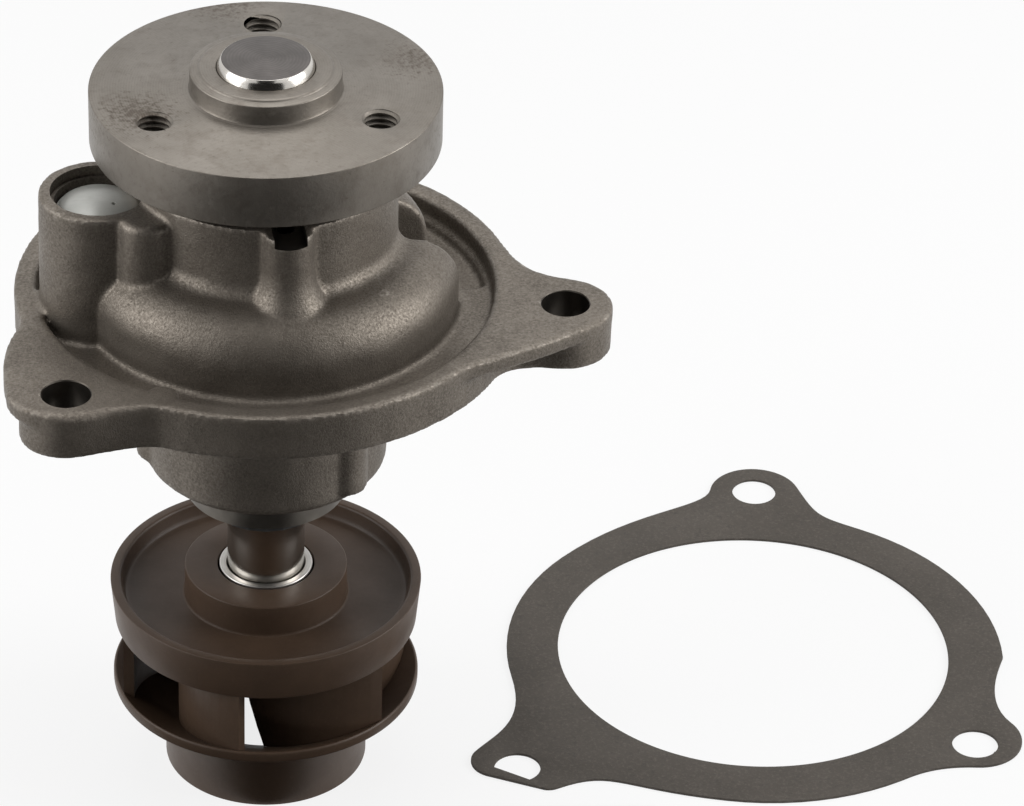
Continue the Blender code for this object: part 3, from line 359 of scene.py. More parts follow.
def grain(tree, size, detail=2.0, rough=0.5, stretch=(1.0, 1.0, 1.0)):
    """Cloudy noise whose lumps are about this many millimetres across."""
    noise = tree.nodes.new("ShaderNodeTexNoise")
    noise.inputs["Scale"].default_value = 1.0 / (size * MM)
    noise.inputs["Detail"].default_value = detail
    noise.inputs["Roughness"].default_value = rough
    tree.links.new(place(tree, stretch), noise.inputs["Vector"])
    return noise.outputs["Fac"]


def ramp(tree, value, *stops):
    """Colours or greys at places along a value from 0 to 1."""
    node = tree.nodes.new("ShaderNodeValToRGB")
    steps = node.color_ramp.elements
    while len(steps) < len(stops):
        steps.new(0.5)
    for step, (position, colour) in zip(steps, stops):
        step.position = position
        step.color = (*colour, 1.0) if isinstance(colour, tuple) else (colour, colour, colour, 1.0)
    tree.links.new(value, node.inputs["Fac"])
    return node.outputs["Color"]


def mixed(tree, share, first, second, way="MIX"):
    """Two colours or values mixed by a share, each a socket or a plain value."""
    node = tree.nodes.new("ShaderNodeMix")
    node.data_type = "RGBA"
    node.blend_type = way
    for name, value in (("Factor", share), ("A", first), ("B", second)):
        socket = [s for s in node.inputs if s.name == name and s.enabled][0]
        if isinstance(value, bpy.types.NodeSocket):
            tree.links.new(value, socket)
        else:
            socket.default_value = (*value, 1.0) if isinstance(value, tuple) else value
    return [s for s in node.outputs if s.enabled][0]


def math_of(tree, kind, first, second=0.0):
    node = tree.nodes.new("ShaderNodeMath")
    node.operation = kind
    for socket, value in zip(node.inputs, (first, second)):
        if isinstance(value, bpy.types.NodeSocket):
            tree.links.new(value, socket)
        else:
            socket.default_value = value
    return node.outputs["Value"]


def raised(tree, height, depth, strength=1.0, under=None):
    """Bump of a height map whose full range is this many millimetres deep."""
    node = tree.nodes.new("ShaderNodeBump")
    node.inputs["Strength"].default_value = strength
    node.inputs["Distance"].default_value = depth * MM
    tree.links.new(height, node.inputs["Height"])
    if under is not None:
        tree.links.new(under, node.inputs["Normal"])
    return node.outputs["Normal"]


def cast_finish():
    """Sandy cast iron, brown-grey, with light specks and darker clouds; its sharp edges are lighter, partly wear and
    partly painted highlight.
    """
    finish, tree, shader = new_finish("sandy_cast_iron")
    clouds = grain(tree, 9.0, 4.0, 0.6)
    specks = grain(tree, 0.4, 2.0, 0.6)
    fine = grain(tree, 0.2, 2.0, 0.5)
    base = ramp(tree, clouds, (0.32, (0.118, 0.101, 0.083)), (0.68, (0.168, 0.146, 0.122)))
    speckled = mixed(tree, ramp(tree, specks, (0.45, 0.0), (0.75, 0.5)), base, (0.255, 0.228, 0.195))
    pitted = mixed(tree, ramp(tree, specks, (0.25, 0.55), (0.42, 0.0)), speckled, (0.062, 0.051, 0.041))
    geometry = tree.nodes.new("ShaderNodeNewGeometry")
    # Lighter colour on sharp convex edges: partly wear, partly painted highlight.
    edge = ramp(tree, geometry.outputs["Pointiness"], (0.52, 0.0), (0.58, 1.0))
    wear_and_edge_highlight = math_of(tree, "MULTIPLY", edge, ramp(tree, grain(tree, 1.6, 3.0), (0.38, 0.0), (0.6, 0.9)))
    colour = mixed(tree, wear_and_edge_highlight, pitted, (0.34, 0.308, 0.27))
    tree.links.new(colour, shader.inputs["Base Color"])
    shader.inputs["Metallic"].default_value = 0.75
    tree.links.new(ramp(tree, specks, (0.3, 0.62), (0.7, 0.42)), shader.inputs["Roughness"])
    height = mixed(tree, 0.4, specks, fine)
    tree.links.new(raised(tree, height, 0.11, 0.7), shader.inputs["Normal"])
    return finish


def machined_finish(name, dark, light):
    """Cut iron: smoother than the skin, with fine turning lines round the shaft's axis."""
    finish, tree, shader = new_finish(name)
    cloud = grain(tree, 4.0, 3.0)
    colour = ramp(tree, cloud, (0.3, dark), (0.7, light))
    tree.links.new(colour, shader.inputs["Base Color"])
    shader.inputs["Metallic"].default_value = 0.9
    shader.inputs["Roughness"].default_value = 0.36
    lines = grain(tree, 0.5, 1.0, 0.5, (0.05, 0.05, 1.0))
    tree.links.new(raised(tree, lines, 0.02, 0.5), shader.inputs["Normal"])
    return finish


cast_iron = cast_finish()
machined_iron = machined_finish("machined_iron", (0.10, 0.09, 0.078), (0.15, 0.137, 0.12))
# A darker copy of the machined iron for the holes and the weep notch: its darker colour is painted shade inside them.
bore_iron_painted_shade = machined_finish("bore_iron_painted_shade", (0.06, 0.052, 0.044), (0.09, 0.08, 0.068))


def coat(piece, finish):
    """Gives the whole piece one finish."""
    piece.data.materials.clear()
    piece.data.materials.append(finish)
    for face in piece.data.polygons:
        face.material_index = 0


coat(housing, cast_iron)


def shade(piece, angle=35.0):
    bpy.ops.object.select_all(action="DESELECT")
    piece.select_set(True)
    bpy.context.view_layer.objects.active = piece
    bpy.ops.object.shade_smooth_by_angle(angle=math.radians(angle))


def smooth_edges(piece, width, angle=35.0):
    """Breaks the sharp edges of a finished piece and shades it smooth."""
    bevel = piece.modifiers.new("broken_edges", "BEVEL")
    bevel.width = width * MM
    bevel.segments = 3
    bevel.limit_method = "ANGLE"
    bevel.angle_limit = math.radians(angle)
    apply_modifiers(piece)
    shade(piece)


def drill(name, radius, chamfer, top, bottom, at, steps=48):
    """A drill that also breaks the edge of its hole at the top."""
    return turned(name, [(0.0, top + OVER), (radius + chamfer + OVER, top + OVER), (radius, top - chamfer),
                         (radius, bottom - OVER), (0.0, bottom - OVER)], steps, at)


bores = turned("bores", [(0.0, BOSS_TOP + OVER), (BEARING_BORE + BORE_LEAD, BOSS_TOP + OVER),
                         (BEARING_BORE + BORE_LEAD, BOSS_TOP - BORE_STEP),
                         (BEARING_BORE, BOSS_TOP - BORE_STEP - BORE_LEAD),
                         (BEARING_BORE, BEARING_SEAT), (SEAL_BORE, BEARING_SEAT),
                         (SEAL_BORE, NOSE_BOTTOM - OVER), (0.0, NOSE_BOTTOM - OVER)])
reservoir_bore = turned("reservoir_bore", [(0.0, RESERVOIR_TOP + OVER), (RESERVOIR_RIM, RESERVOIR_TOP + OVER),
                                           (RESERVOIR_RIM, RESERVOIR_STEP),
                                           (RESERVOIR_BORE, RESERVOIR_STEP), (RESERVOIR_BORE, CAP_SEAT),
                                           (CAP_SEAT_RADIUS, CAP_SEAT), (CAP_SEAT_RADIUS, RESERVOIR_FLOOR),
                                           (0.0, RESERVOIR_FLOOR)], 80, RESERVOIR)
notch_side = polar(WEEP_NOTCH_HALF, WEEP_ANGLE + 90.0)
notch_in, notch_out = [polar(reach, WEEP_ANGLE) for reach in WEEP_NOTCH_SPAN]
weep_notch = plate("weep_notch", (notch_in - notch_side, notch_out - notch_side, notch_out + notch_side,
                                  notch_in + notch_side), WEEP_NOTCH_FLOOR, BOSS_TOP + OVER)
weep_hole = turned("weep_hole", [(0.0, BOSS_TOP + OVER), (WEEP_HOLE_RADIUS, BOSS_TOP + OVER),
                                 (WEEP_HOLE_RADIUS, WEEP_HOLE_END), (0.0, WEEP_HOLE_END)],
                   24, polar(WEEP_HOLE_CENTRE, WEEP_ANGLE))
weep_cross = lying_rod("weep_cross", WEEP_HOLE_RADIUS, WEEP_ANGLE, WEEP_CROSS_LEVEL,
                       (SEAL_BORE - OVER, WEEP_HOLE_CENTRE))
nose_turning = turned("nose_turning", [(NOSE_RADIUS, CARRIER_BOTTOM - NOSE_CUT_BELOW),
                                       (NOSE_RADIUS + NOSE_CUT, CARRIER_BOTTOM - NOSE_CUT_BELOW),
                                       (NOSE_RADIUS + NOSE_CUT, NOSE_BOTTOM - OVER),
                                       (SEAL_BORE - OVER, NOSE_BOTTOM - OVER),
                                       (SEAL_BORE - OVER, NOSE_BOTTOM), (NOSE_RADIUS, NOSE_BOTTOM)])
ear_drills = [drill("ear_drill", EAR_HOLE, EAR_CHAMFER, FLANGE_TOP, GASKET_FACE, ear["hole"]) for ear in EARS]
for tool in (bores, nose_turning, face_step):
    tool.data.materials.append(machined_iron)
# The weep notch, the weep holes and the ear holes take the darker iron, painted shade in the holes.
for tool in (weep_notch, weep_hole, weep_cross, *ear_drills):
    tool.data.materials.append(bore_iron_painted_shade)
reservoir_bore.data.materials.append(cast_iron)
combine(housing, "DIFFERENCE", face_step, bores, nose_turning, reservoir_bore, weep_notch, weep_hole,
        weep_cross, *ear_drills)
shade(housing)
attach(housing, "housing_body")
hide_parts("housing")


# Weep reservoir cap: a shallow domed plug, moulded in pale plastic, with a pin-hole vent, pushed
# down on its seat in the reservoir.
CAP_RADIUS, CAP_GAP, CAP_EDGE = 6.8, 0.3, 0.12
CAP_DOME = ((0.0, 110.5), (1.8, 110.46), (3.5, 110.3), (4.8, 110.05), (5.7, 109.75), (6.2, 109.45), (6.35, 108.9),
            (CAP_RADIUS, 108.8))
CAP_VENT, CAP_VENT_RADIUS, CAP_VENT_LOW, CAP_VENT_HIGH = (2.4, -1.3), 0.35, 106.0, 113.0
cap = turned("weep_cap", [*CAP_DOME, (CAP_RADIUS, CAP_SEAT + CAP_GAP), (0.0, CAP_SEAT + CAP_GAP)], 96, RESERVOIR)
smooth_edges(cap, CAP_EDGE)
vent = turned("vent", [(0.0, CAP_VENT_HIGH), (CAP_VENT_RADIUS, CAP_VENT_HIGH),
                       (CAP_VENT_RADIUS, CAP_VENT_LOW), (0.0, CAP_VENT_LOW)], 16,
              (RESERVOIR[0] + CAP_VENT[0], RESERVOIR[1] + CAP_VENT[1]))
combine(cap, "DIFFERENCE", vent)
shade(cap)


def cap_finish():
    finish, tree, shader = new_finish("pale_cap")
    cloud = grain(tree, 3.5, 4.0, 0.6)
    smear = grain(tree, 1.2, 3.0, 0.6, (0.4, 1.0, 1.0))
    base = ramp(tree, cloud, (0.3, (0.52, 0.525, 0.49)), (0.7, (0.63, 0.63, 0.595)))
    colour = mixed(tree, ramp(tree, smear, (0.55, 0.0), (0.75, 0.35)), base, (0.42, 0.415, 0.38))
    tree.links.new(colour, shader.inputs["Base Color"])
    tree.links.new(ramp(tree, smear, (0.3, 0.28), (0.7, 0.45)), shader.inputs["Roughness"])
    shader.inputs["Metallic"].default_value = 0.25
    tree.links.new(raised(tree, grain(tree, 0.4, 2.0), 0.02, 0.5), shader.inputs["Normal"])
    return finish


coat(cap, cap_finish())
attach(cap, "housing_body")
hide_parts("weep_reservoir_cap")


# Shaft: ground bearing steel, chamfered at the pulley end, stepped down for the seal and impeller,
# with the ball groove ground into it.
SHAFT_RADIUS, SHAFT_END_RADIUS, SHAFT_LEAD, SHAFT_CROWN = 7.96, 7.06, 2.2, (0.45, 0.75)
SHAFT_CHAMFER, GROUND_EDGE = 0.5, 0.12
SEAL_END_RADIUS, SHAFT_STEP, SHAFT_TAIL = 6.35, 72.0, 24.0
BALL_ROW, BALL_LEVEL, GROOVE_RADIUS, GROOVE_SPAN = 10.4, 104.0, 3.3, (137.7, 222.3)
groove = [tuple(p) for p in arc((BALL_ROW, BALL_LEVEL), GROOVE_RADIUS, *GROOVE_SPAN, 8.0)]
shaft = turned("shaft_steel", [(0.0, SHAFT_END), (SHAFT_END_RADIUS, SHAFT_END),
                               (SHAFT_END_RADIUS + SHAFT_CROWN[0], SHAFT_END - SHAFT_CROWN[1]),
                               (SHAFT_RADIUS, SHAFT_END - SHAFT_LEAD),
                               *groove, (SHAFT_RADIUS, SHAFT_STEP + SHAFT_CHAMFER),
                               (SHAFT_RADIUS - SHAFT_CHAMFER, SHAFT_STEP), (SEAL_END_RADIUS, SHAFT_STEP),
                               (SEAL_END_RADIUS, SHAFT_TAIL + SHAFT_CHAMFER),
                               (SEAL_END_RADIUS - SHAFT_CHAMFER, SHAFT_TAIL),
                               (0.0, SHAFT_TAIL)])
smooth_edges(shaft, GROUND_EDGE)


WAVE_RATE = 0.314


def rings(tree, spacing, waver):
    """Turning rings round the shaft's axis, this many millimetres apart."""
    wave = tree.nodes.new("ShaderNodeTexWave")
    wave.wave_type = "RINGS"
    wave.rings_direction = "Z"
    wave.inputs["Scale"].default_value = 1.0 / (spacing * MM) * WAVE_RATE
    wave.inputs["Distortion"].default_value = waver
    wave.inputs["Detail"].default_value = 2.0
    tree.links.new(place(tree), wave.inputs["Vector"])
    return wave.outputs["Fac"]


def ground_finish(name, dark, light, rough):
    finish, tree, shader = new_finish(name)
    cloud = grain(tree, 5.0, 3.0, 0.6)
    turning = rings(tree, 0.55, 1.5)
    base = ramp(tree, cloud, (0.3, dark), (0.7, light))
    colour = mixed(tree, ramp(tree, turning, (0.2, 0.0), (0.8, 0.35)), base, dark)
    tree.links.new(colour, shader.inputs["Base Color"])
    shader.inputs["Metallic"].default_value = 1.0
    shader.inputs["Roughness"].default_value = rough
    scratches = grain(tree, 0.35, 1.0, 0.5, (0.08, 0.08, 1.0))
    bumped = raised(tree, turning, 0.03, 0.35)
    tree.links.new(raised(tree, scratches, 0.012, 0.5, bumped), shader.inputs["Normal"])
    return finish


ground_steel = ground_finish("ground_steel_finish", (0.50, 0.475, 0.44), (0.64, 0.615, 0.575), 0.18)
coat(shaft, ground_steel)
shaft.data.materials.append(ground_finish("sawn_end_finish", (0.085, 0.078, 0.074), (0.14, 0.128, 0.122), 0.4))
for face in shaft.data.polygons:
    if face.normal.z > 0.98 and face.center.z > level(SHAFT_END - 0.1):
        face.material_index = 1
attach(shaft, "rotor")
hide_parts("shaft")


# Bearing and seal inside the housing: hardened race, balls, rollers, moulded cages, lip seals,
# slinger, rubber bellows and boot, carbon and ceramic faces. They keep their solids' shapes.
def plain_finish(name, dark, light, size, metallic, rough, depth):
    finish, tree, shader = new_finish(name)
    cloud = grain(tree, size, 4.0, 0.6)
    tree.links.new(ramp(tree, cloud, (0.3, dark), (0.7, light)), shader.inputs["Base Color"])
    tree.links.new(ramp(tree, cloud, (0.3, rough * 1.15), (0.7, rough * 0.85)), shader.inputs["Roughness"])
    shader.inputs["Metallic"].default_value = metallic
    tree.links.new(raised(tree, grain(tree, size / 6.0, 2.0), depth, 0.5), shader.inputs["Normal"])
    return finish


INNER_FINISHES = (
    (plain_finish("bearing_steel_finish", (0.46, 0.46, 0.46), (0.60, 0.60, 0.59), 2.0, 1.0, 0.14, 0.004),
     ["bearing_outer_race", *[f"ball_{i}" for i in range(1, 9)], *[f"roller_{i}" for i in range(1, 9)]]),
    (plain_finish("cage_nylon_finish", (0.48, 0.43, 0.32), (0.60, 0.55, 0.43), 2.5, 0.0, 0.5, 0.02),
     ["ball_cage", "roller_cage"]),
    (plain_finish("seal_rubber_finish", (0.016, 0.016, 0.016), (0.03, 0.03, 0.029), 1.5, 0.0, 0.6, 0.03),
     ["bearing_seal_front", "bearing_seal_rear", "seal_bellows", "seat_boot"]),
    (plain_finish("pressed_sheet_finish", (0.40, 0.385, 0.36), (0.54, 0.525, 0.50), 2.0, 1.0, 0.25, 0.006),
     ["slinger", "seal_spring"]),
    (plain_finish("carbon_finish", (0.022, 0.022, 0.025), (0.04, 0.04, 0.044), 1.0, 0.0, 0.42, 0.01),
     ["carbon_ring"]),
    (plain_finish("ceramic_finish", (0.68, 0.67, 0.63), (0.80, 0.79, 0.75), 2.0, 0.0, 0.3, 0.004),
     ["seat_ring"]),
)
for finish, nodes in INNER_FINISHES:
    for node in nodes:
        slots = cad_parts[node].data.materials
        slots.clear()
        slots.append(finish)


# Seal cup: pressed from thin bright sheet, pushed into the nose with its lip against the nose's end.
CUP_BORE, CUP_INNER, CUP_OUTER, CUP_LIP = 7.2, 9.9, 10.6, 11.4
CUP_LOW, CUP_HIGH, CUP_SHEET, CUP_EDGE = 52.55, 64.0, 0.5, 0.12
cup = turned("seal_cup_sheet", [(CUP_BORE, CUP_HIGH), (CUP_OUTER, CUP_HIGH), (CUP_OUTER, CUP_LOW + CUP_SHEET),
                                (CUP_LIP, CUP_LOW + CUP_SHEET), (CUP_LIP, CUP_LOW), (CUP_INNER, CUP_LOW),
                                (CUP_INNER, CUP_HIGH - CUP_SHEET), (CUP_BORE, CUP_HIGH - CUP_SHEET)])
smooth_edges(cup, CUP_EDGE)
coat(cup, ground_finish("pressed_cup_finish", (0.45, 0.435, 0.41), (0.58, 0.565, 0.54), 0.22))
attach(cup, "housing_body")
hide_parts("seal_cup")


# Impeller: dark brown moulded plastic, a dished disc with six swept vanes, welded to a funnel-shaped
# shroud with the eye's skirt. A light steel insert holds it on the shaft.
RIM_RADIUS, RIM_TOP, DISH_FLOOR, DISC_UNDERSIDE, DISC_UNDER_RADIUS = 25.7, 35.2, 32.1, 27.9, 25.0
HUB_RADIUS, HUB_TOP, HUB_BOTTOM, INSERT_RADIUS, INSERT_BORE = 13.4, 37.7, 24.6, 7.7, 6.5
SHROUD_RADIUS, SHROUD_TOP, SHROUD_EDGE, SHROUD_FALL = 25.4, 17.2, 1.9, 6.4
EYE_RADIUS, EYE_BORE, EYE_SHOULDER, MOULD_EDGE = 16.8, 14.6, 0.5, 0.3
DISH_CORNER, RIM_CORNER = ((22.4, 0.0), (23.2, 0.3), (23.6, 1.0)), ((23.9, -0.3), (24.2, 0.0))
HUB_FOOT, HUB_DRAFT, HUB_CONE, INSERT_GAP, INSERT_PROUD = 0.3, 0.05, (12.2, 10.2), 0.3, 0.2
DISC_EDGE, SHROUD_BREAK, INSERT_EDGE = 0.25, 0.2, 0.2
VANES, VANE_TIP_ANGLE, VANE_TIP, VANE_SWEEP, VANE_THICK = 6, -99.4, 24.2, 46.0, 1.7
VANE_INNER_LOW, VANE_INNER_HIGH, VANE_LOW, VANE_ROOT, VANE_CLEAR = 16.5, 13.6, 9.0, 1.2, 0.03
VANE_STEPS, VANE_CUT_INNER, VANE_CUT_OUTER, VANE_CUT_LOW = 14, EYE_BORE - 4.0, 30.0, 2.0
SHROUD_LIP = SHROUD_RADIUS - MOULD_EDGE
SHROUD_SLOPE = SHROUD_FALL / (SHROUD_LIP - EYE_BORE)


def funnel(radius):
    """Height of the shroud's upper face."""
    return SHROUD_TOP - SHROUD_SLOPE * (SHROUD_LIP - radius)


disc = turned("impeller_moulding", [(INSERT_RADIUS + INSERT_GAP, HUB_TOP), (HUB_RADIUS, HUB_TOP),
                                    (HUB_RADIUS + HUB_DRAFT, DISH_FLOOR + HUB_FOOT),
                                    (HUB_RADIUS + HUB_FOOT, DISH_FLOOR),
                                    *[(radius, DISH_FLOOR + rise) for radius, rise in DISH_CORNER],
                                    *[(radius, RIM_TOP + rise) for radius, rise in RIM_CORNER], (RIM_RADIUS, RIM_TOP),
                                    (DISC_UNDER_RADIUS, DISC_UNDERSIDE), (HUB_CONE[0], DISC_UNDERSIDE),
                                    (HUB_CONE[1], HUB_BOTTOM), (INSERT_RADIUS + INSERT_GAP, HUB_BOTTOM)], 160)
smooth_edges(disc, DISC_EDGE)


def vane(tip_angle):
    """A swept sheet, extruded up and thickened, trimmed by the funnel below and by a cone inside."""
    path = []
    for i in range(VANE_STEPS + 1):
        radius = VANE_INNER_HIGH + (VANE_TIP - VANE_INNER_HIGH) * i / VANE_STEPS
        swept = VANE_SWEEP * (VANE_TIP - radius) / (VANE_TIP - VANE_INNER_LOW)
        path.append(Vector((*polar(radius, tip_angle - swept) * MM, level(VANE_LOW))))
    piece = chain("vane", path)
    bpy.ops.mesh.select_all(action="SELECT")
    rise = (DISC_UNDERSIDE + VANE_ROOT - VANE_LOW) * MM
    bpy.ops.mesh.extrude_region_move(TRANSFORM_OT_translate={"value": (0.0, 0.0, rise)})
    close_up()
    wall = piece.modifiers.new("wall", "SOLIDIFY")
    wall.thickness = VANE_THICK * MM
    wall.offset = 0.0
    apply_modifiers(piece)
    inside = turned("vane_inside", [(0.0, DISC_UNDERSIDE - 0.5), (VANE_INNER_HIGH, DISC_UNDERSIDE - 0.5),
                                    (VANE_INNER_LOW, funnel(VANE_INNER_LOW)),
                                    (VANE_INNER_LOW, VANE_LOW - 4.0), (0.0, VANE_LOW - 4.0)])
    below = turned("vane_below", [(VANE_CUT_INNER, funnel(VANE_CUT_INNER) + VANE_CLEAR),
                                  (VANE_CUT_OUTER, funnel(VANE_CUT_OUTER) + VANE_CLEAR),
                                  (VANE_CUT_OUTER, VANE_CUT_LOW), (VANE_CUT_INNER, VANE_CUT_LOW)])
    combine(piece, "DIFFERENCE", inside, below)
    return piece


combine(disc, "UNION", *[vane(VANE_TIP_ANGLE + 360.0 / VANES * i) for i in range(VANES)])
shade(disc)
shoulder = SHROUD_TOP - SHROUD_EDGE - SHROUD_SLOPE * (SHROUD_RADIUS - EYE_RADIUS)
shroud = turned("impeller_shroud_moulding",
                [(SHROUD_LIP, SHROUD_TOP), (SHROUD_RADIUS, SHROUD_TOP - MOULD_EDGE),
                 (SHROUD_RADIUS, SHROUD_TOP - SHROUD_EDGE),
                 (EYE_RADIUS + EYE_SHOULDER, shoulder + SHROUD_SLOPE * EYE_SHOULDER),
                 (EYE_RADIUS, shoulder - EYE_SHOULDER),
                 (EYE_RADIUS, 0.0), (EYE_BORE, 0.0), (EYE_BORE, SHROUD_TOP - SHROUD_FALL)], 160)
smooth_edges(shroud, SHROUD_BREAK)
insert_top, insert_bottom = HUB_TOP + INSERT_PROUD, HUB_BOTTOM + INSERT_PROUD
insert = turned("impeller_insert_ring", [(INSERT_BORE, insert_top), (INSERT_RADIUS, insert_top),
                                         (INSERT_RADIUS, insert_bottom), (INSERT_BORE, insert_bottom)], 96)
smooth_edges(insert, INSERT_EDGE)


def moulded_finish():
    finish, tree, shader = new_finish("brown_moulded_plastic")
    cloud = grain(tree, 8.0, 4.0, 0.6)
    dust = grain(tree, 0.5, 3.0, 0.7)
    base = ramp(tree, cloud, (0.3, (0.058, 0.0355, 0.0225)), (0.7, (0.076, 0.048, 0.0315)))
    colour = mixed(tree, ramp(tree, dust, (0.58, 0.0), (0.8, 0.25)), base, (0.12, 0.09, 0.07))
    tree.links.new(colour, shader.inputs["Base Color"])
    tree.links.new(ramp(tree, cloud, (0.3, 0.5), (0.7, 0.4)), shader.inputs["Roughness"])
    shader.inputs["Specular IOR Level"].default_value = 0.3
    height = mixed(tree, 0.5, dust, grain(tree, 1.5, 2.0))
    tree.links.new(raised(tree, height, 0.03, 0.5), shader.inputs["Normal"])
    return finish


brown_plastic = moulded_finish()
for piece, node in ((disc, "impeller_disc"), (shroud, "impeller_shroud")):
    coat(piece, brown_plastic)
    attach(piece, "rotor")
    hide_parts(node)
coat(insert, ground_finish("insert_finish", (0.46, 0.445, 0.42), (0.56, 0.545, 0.52), 0.36))
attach(insert, "rotor")
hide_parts("impeller_insert")


# Drive flange: turned from steel bar and pressed on the shaft, with a pilot hub for the pulley and
# three M6 threads. The bare steel has gone blotchy.
DRIVE_RADIUS, DRIVE_FACE, DRIVE_BACK = 27.8, 128.0, 119.2
PILOT_RADIUS, PILOT_TOP, PILOT_BORE, PILOT_STEP, PILOT_MOUTH = 12.0, 131.8, 8.05, 10.5, 7.78
PILOT_SHOULDER, PILOT_FILLET, DRIVE_EDGE = (0.25, 0.3, 0.45), (0.18, 0.6), 0.2
HOLE_CIRCLE, HOLE_FIRST, SINK_OVER, SINK_DEPTH = 20.3, 91.5, 0.1, 0.5
THREAD_MINOR, THREAD_MAJOR, THREAD_PITCH, THREAD_TURNS, THREAD_STEPS = 2.6, 3.05, 1.0, 13, 32
THREAD_CREST, THREAD_ROOT = (0.12, 0.88), (0.45, 0.55)
drive = turned("drive_flange_turning", [(PILOT_MOUTH, PILOT_TOP), (PILOT_STEP, PILOT_TOP),
                                        (PILOT_STEP + PILOT_SHOULDER[0], PILOT_TOP - PILOT_SHOULDER[1]),
                                        (PILOT_RADIUS, PILOT_TOP - PILOT_SHOULDER[2]),
                                        (PILOT_RADIUS, DRIVE_FACE + PILOT_FILLET[1]),
                                        (PILOT_RADIUS + PILOT_FILLET[0], DRIVE_FACE + PILOT_FILLET[0]),
                                        (PILOT_RADIUS + PILOT_FILLET[1], DRIVE_FACE), (DRIVE_RADIUS, DRIVE_FACE),
                                        (DRIVE_RADIUS, DRIVE_BACK), (PILOT_BORE, DRIVE_BACK),
                                        (PILOT_BORE, SHAFT_END - SHAFT_LEAD)], 192)
smooth_edges(drive, DRIVE_EDGE, 50.0)


def thread_tap(at):
    """A helix of one tooth, swept down through the flange and closed at both ends."""
    x, y = at
    low = DRIVE_BACK - OVER
    tooth = [(THREAD_MINOR, 0.0), (THREAD_MINOR, THREAD_CREST[0]), (THREAD_MAJOR, THREAD_ROOT[0]),
             (THREAD_MAJOR, THREAD_ROOT[1]), (THREAD_MINOR, THREAD_CREST[1]), (THREAD_MINOR, THREAD_PITCH)]
    tap = chain("thread_tap", [Vector((r * MM, 0.0, h * MM)) for r, h in tooth])
    bpy.ops.object.mode_set(mode="OBJECT")
    helix = tap.modifiers.new("helix", "SCREW")
    helix.screw_offset = THREAD_PITCH * MM
    helix.iterations = THREAD_TURNS
    helix.steps = THREAD_STEPS
    helix.render_steps = THREAD_STEPS
    helix.use_merge_vertices = True
    helix.merge_threshold = SEAM
    apply_modifiers(tap)
    bpy.ops.object.mode_set(mode="EDIT")
    bpy.ops.mesh.select_all(action="SELECT")
    bpy.ops.mesh.remove_doubles(threshold=SEAM)
    bpy.ops.mesh.select_all(action="DESELECT")
    bpy.ops.mesh.select_non_manifold(extend=False)
    bpy.ops.mesh.fill_holes(sides=0)
    bpy.ops.mesh.select_all(action="SELECT")
    bpy.ops.transform.translate(value=(x * MM, y * MM, level(low)))
    close_up()
    return tap


for i in range(3):
    spot = polar(HOLE_CIRCLE, HOLE_FIRST + 120.0 * i)
    tap = thread_tap(spot)
    sink = turned("countersink", [(0.0, DRIVE_FACE + OVER), (THREAD_MAJOR + SINK_OVER + OVER, DRIVE_FACE + OVER),
                                  (THREAD_MINOR - SINK_OVER, DRIVE_FACE - SINK_DEPTH),
                                  (0.0, DRIVE_FACE - SINK_DEPTH)], 48, spot)
    combine(drive, "DIFFERENCE", tap, sink)
shade(drive)


STAINS = (((-20.0, -8.0), 9.0, 0.3), ((24.0, 9.0), 9.0, 0.22), ((-6.0, 26.0), 8.0, 0.22))


def spot_share(tree, at, radius):
    """1 at a spot on the drive flange's face, falling to 0 at this radius round it."""
    gradient = tree.nodes.new("ShaderNodeTexGradient")
    gradient.gradient_type = "SPHERICAL"
    near = place(tree, (1.0 / (radius * MM),) * 3, (at[0] * MM, at[1] * MM, level(DRIVE_FACE)))
    tree.links.new(near, gradient.inputs["Vector"])
    return gradient.outputs["Fac"]


def turned_finish():
    """Turned bar steel, brownish grey, with dark specks that gather at a few stains near the rim."""
    finish, tree, shader = new_finish("stained_turned_steel")
    cloud = grain(tree, 14.0, 4.0, 0.6)
    blotch = grain(tree, 0.9, 6.0, 0.7)
    dots = grain(tree, 0.5, 3.0, 0.6)
    turning = rings(tree, 0.42, 0.6)
    mottle = grain(tree, 3.2, 5.0, 0.65)
    plain = ramp(tree, cloud, (0.35, (0.165, 0.148, 0.127)), (0.65, (0.21, 0.19, 0.166)))
    base = mixed(tree, ramp(tree, mottle, (0.48, 0.0), (0.7, 0.55)), plain, (0.118, 0.10, 0.082))
    gathered = blotch
    for at, radius, share in STAINS:
        stain = math_of(tree, "MULTIPLY", spot_share(tree, at, radius), share)
        gathered = math_of(tree, "ADD", gathered, stain)
    stained = mixed(tree, ramp(tree, gathered, (0.62, 0.0), (0.78, 0.8)), base, (0.08, 0.063, 0.05))
    pitted = mixed(tree, ramp(tree, dots, (0.28, 0.35), (0.4, 0.0)), stained, (0.11, 0.095, 0.08))
    lined = mixed(tree, ramp(tree, turning, (0.2, 0.0), (0.9, 0.1)), pitted, (0.30, 0.28, 0.25))
    tree.links.new(lined, shader.inputs["Base Color"])
    shader.inputs["Metallic"].default_value = 0.85
    tree.links.new(ramp(tree, gathered, (0.5, 0.4), (0.75, 0.6)), shader.inputs["Roughness"])
    bumped = raised(tree, turning, 0.02, 0.3)
    tree.links.new(raised(tree, dots, 0.05, 0.6, bumped), shader.inputs["Normal"])
    return finish


coat(drive, turned_finish())
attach(drive, "rotor")
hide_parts("drive_flange")


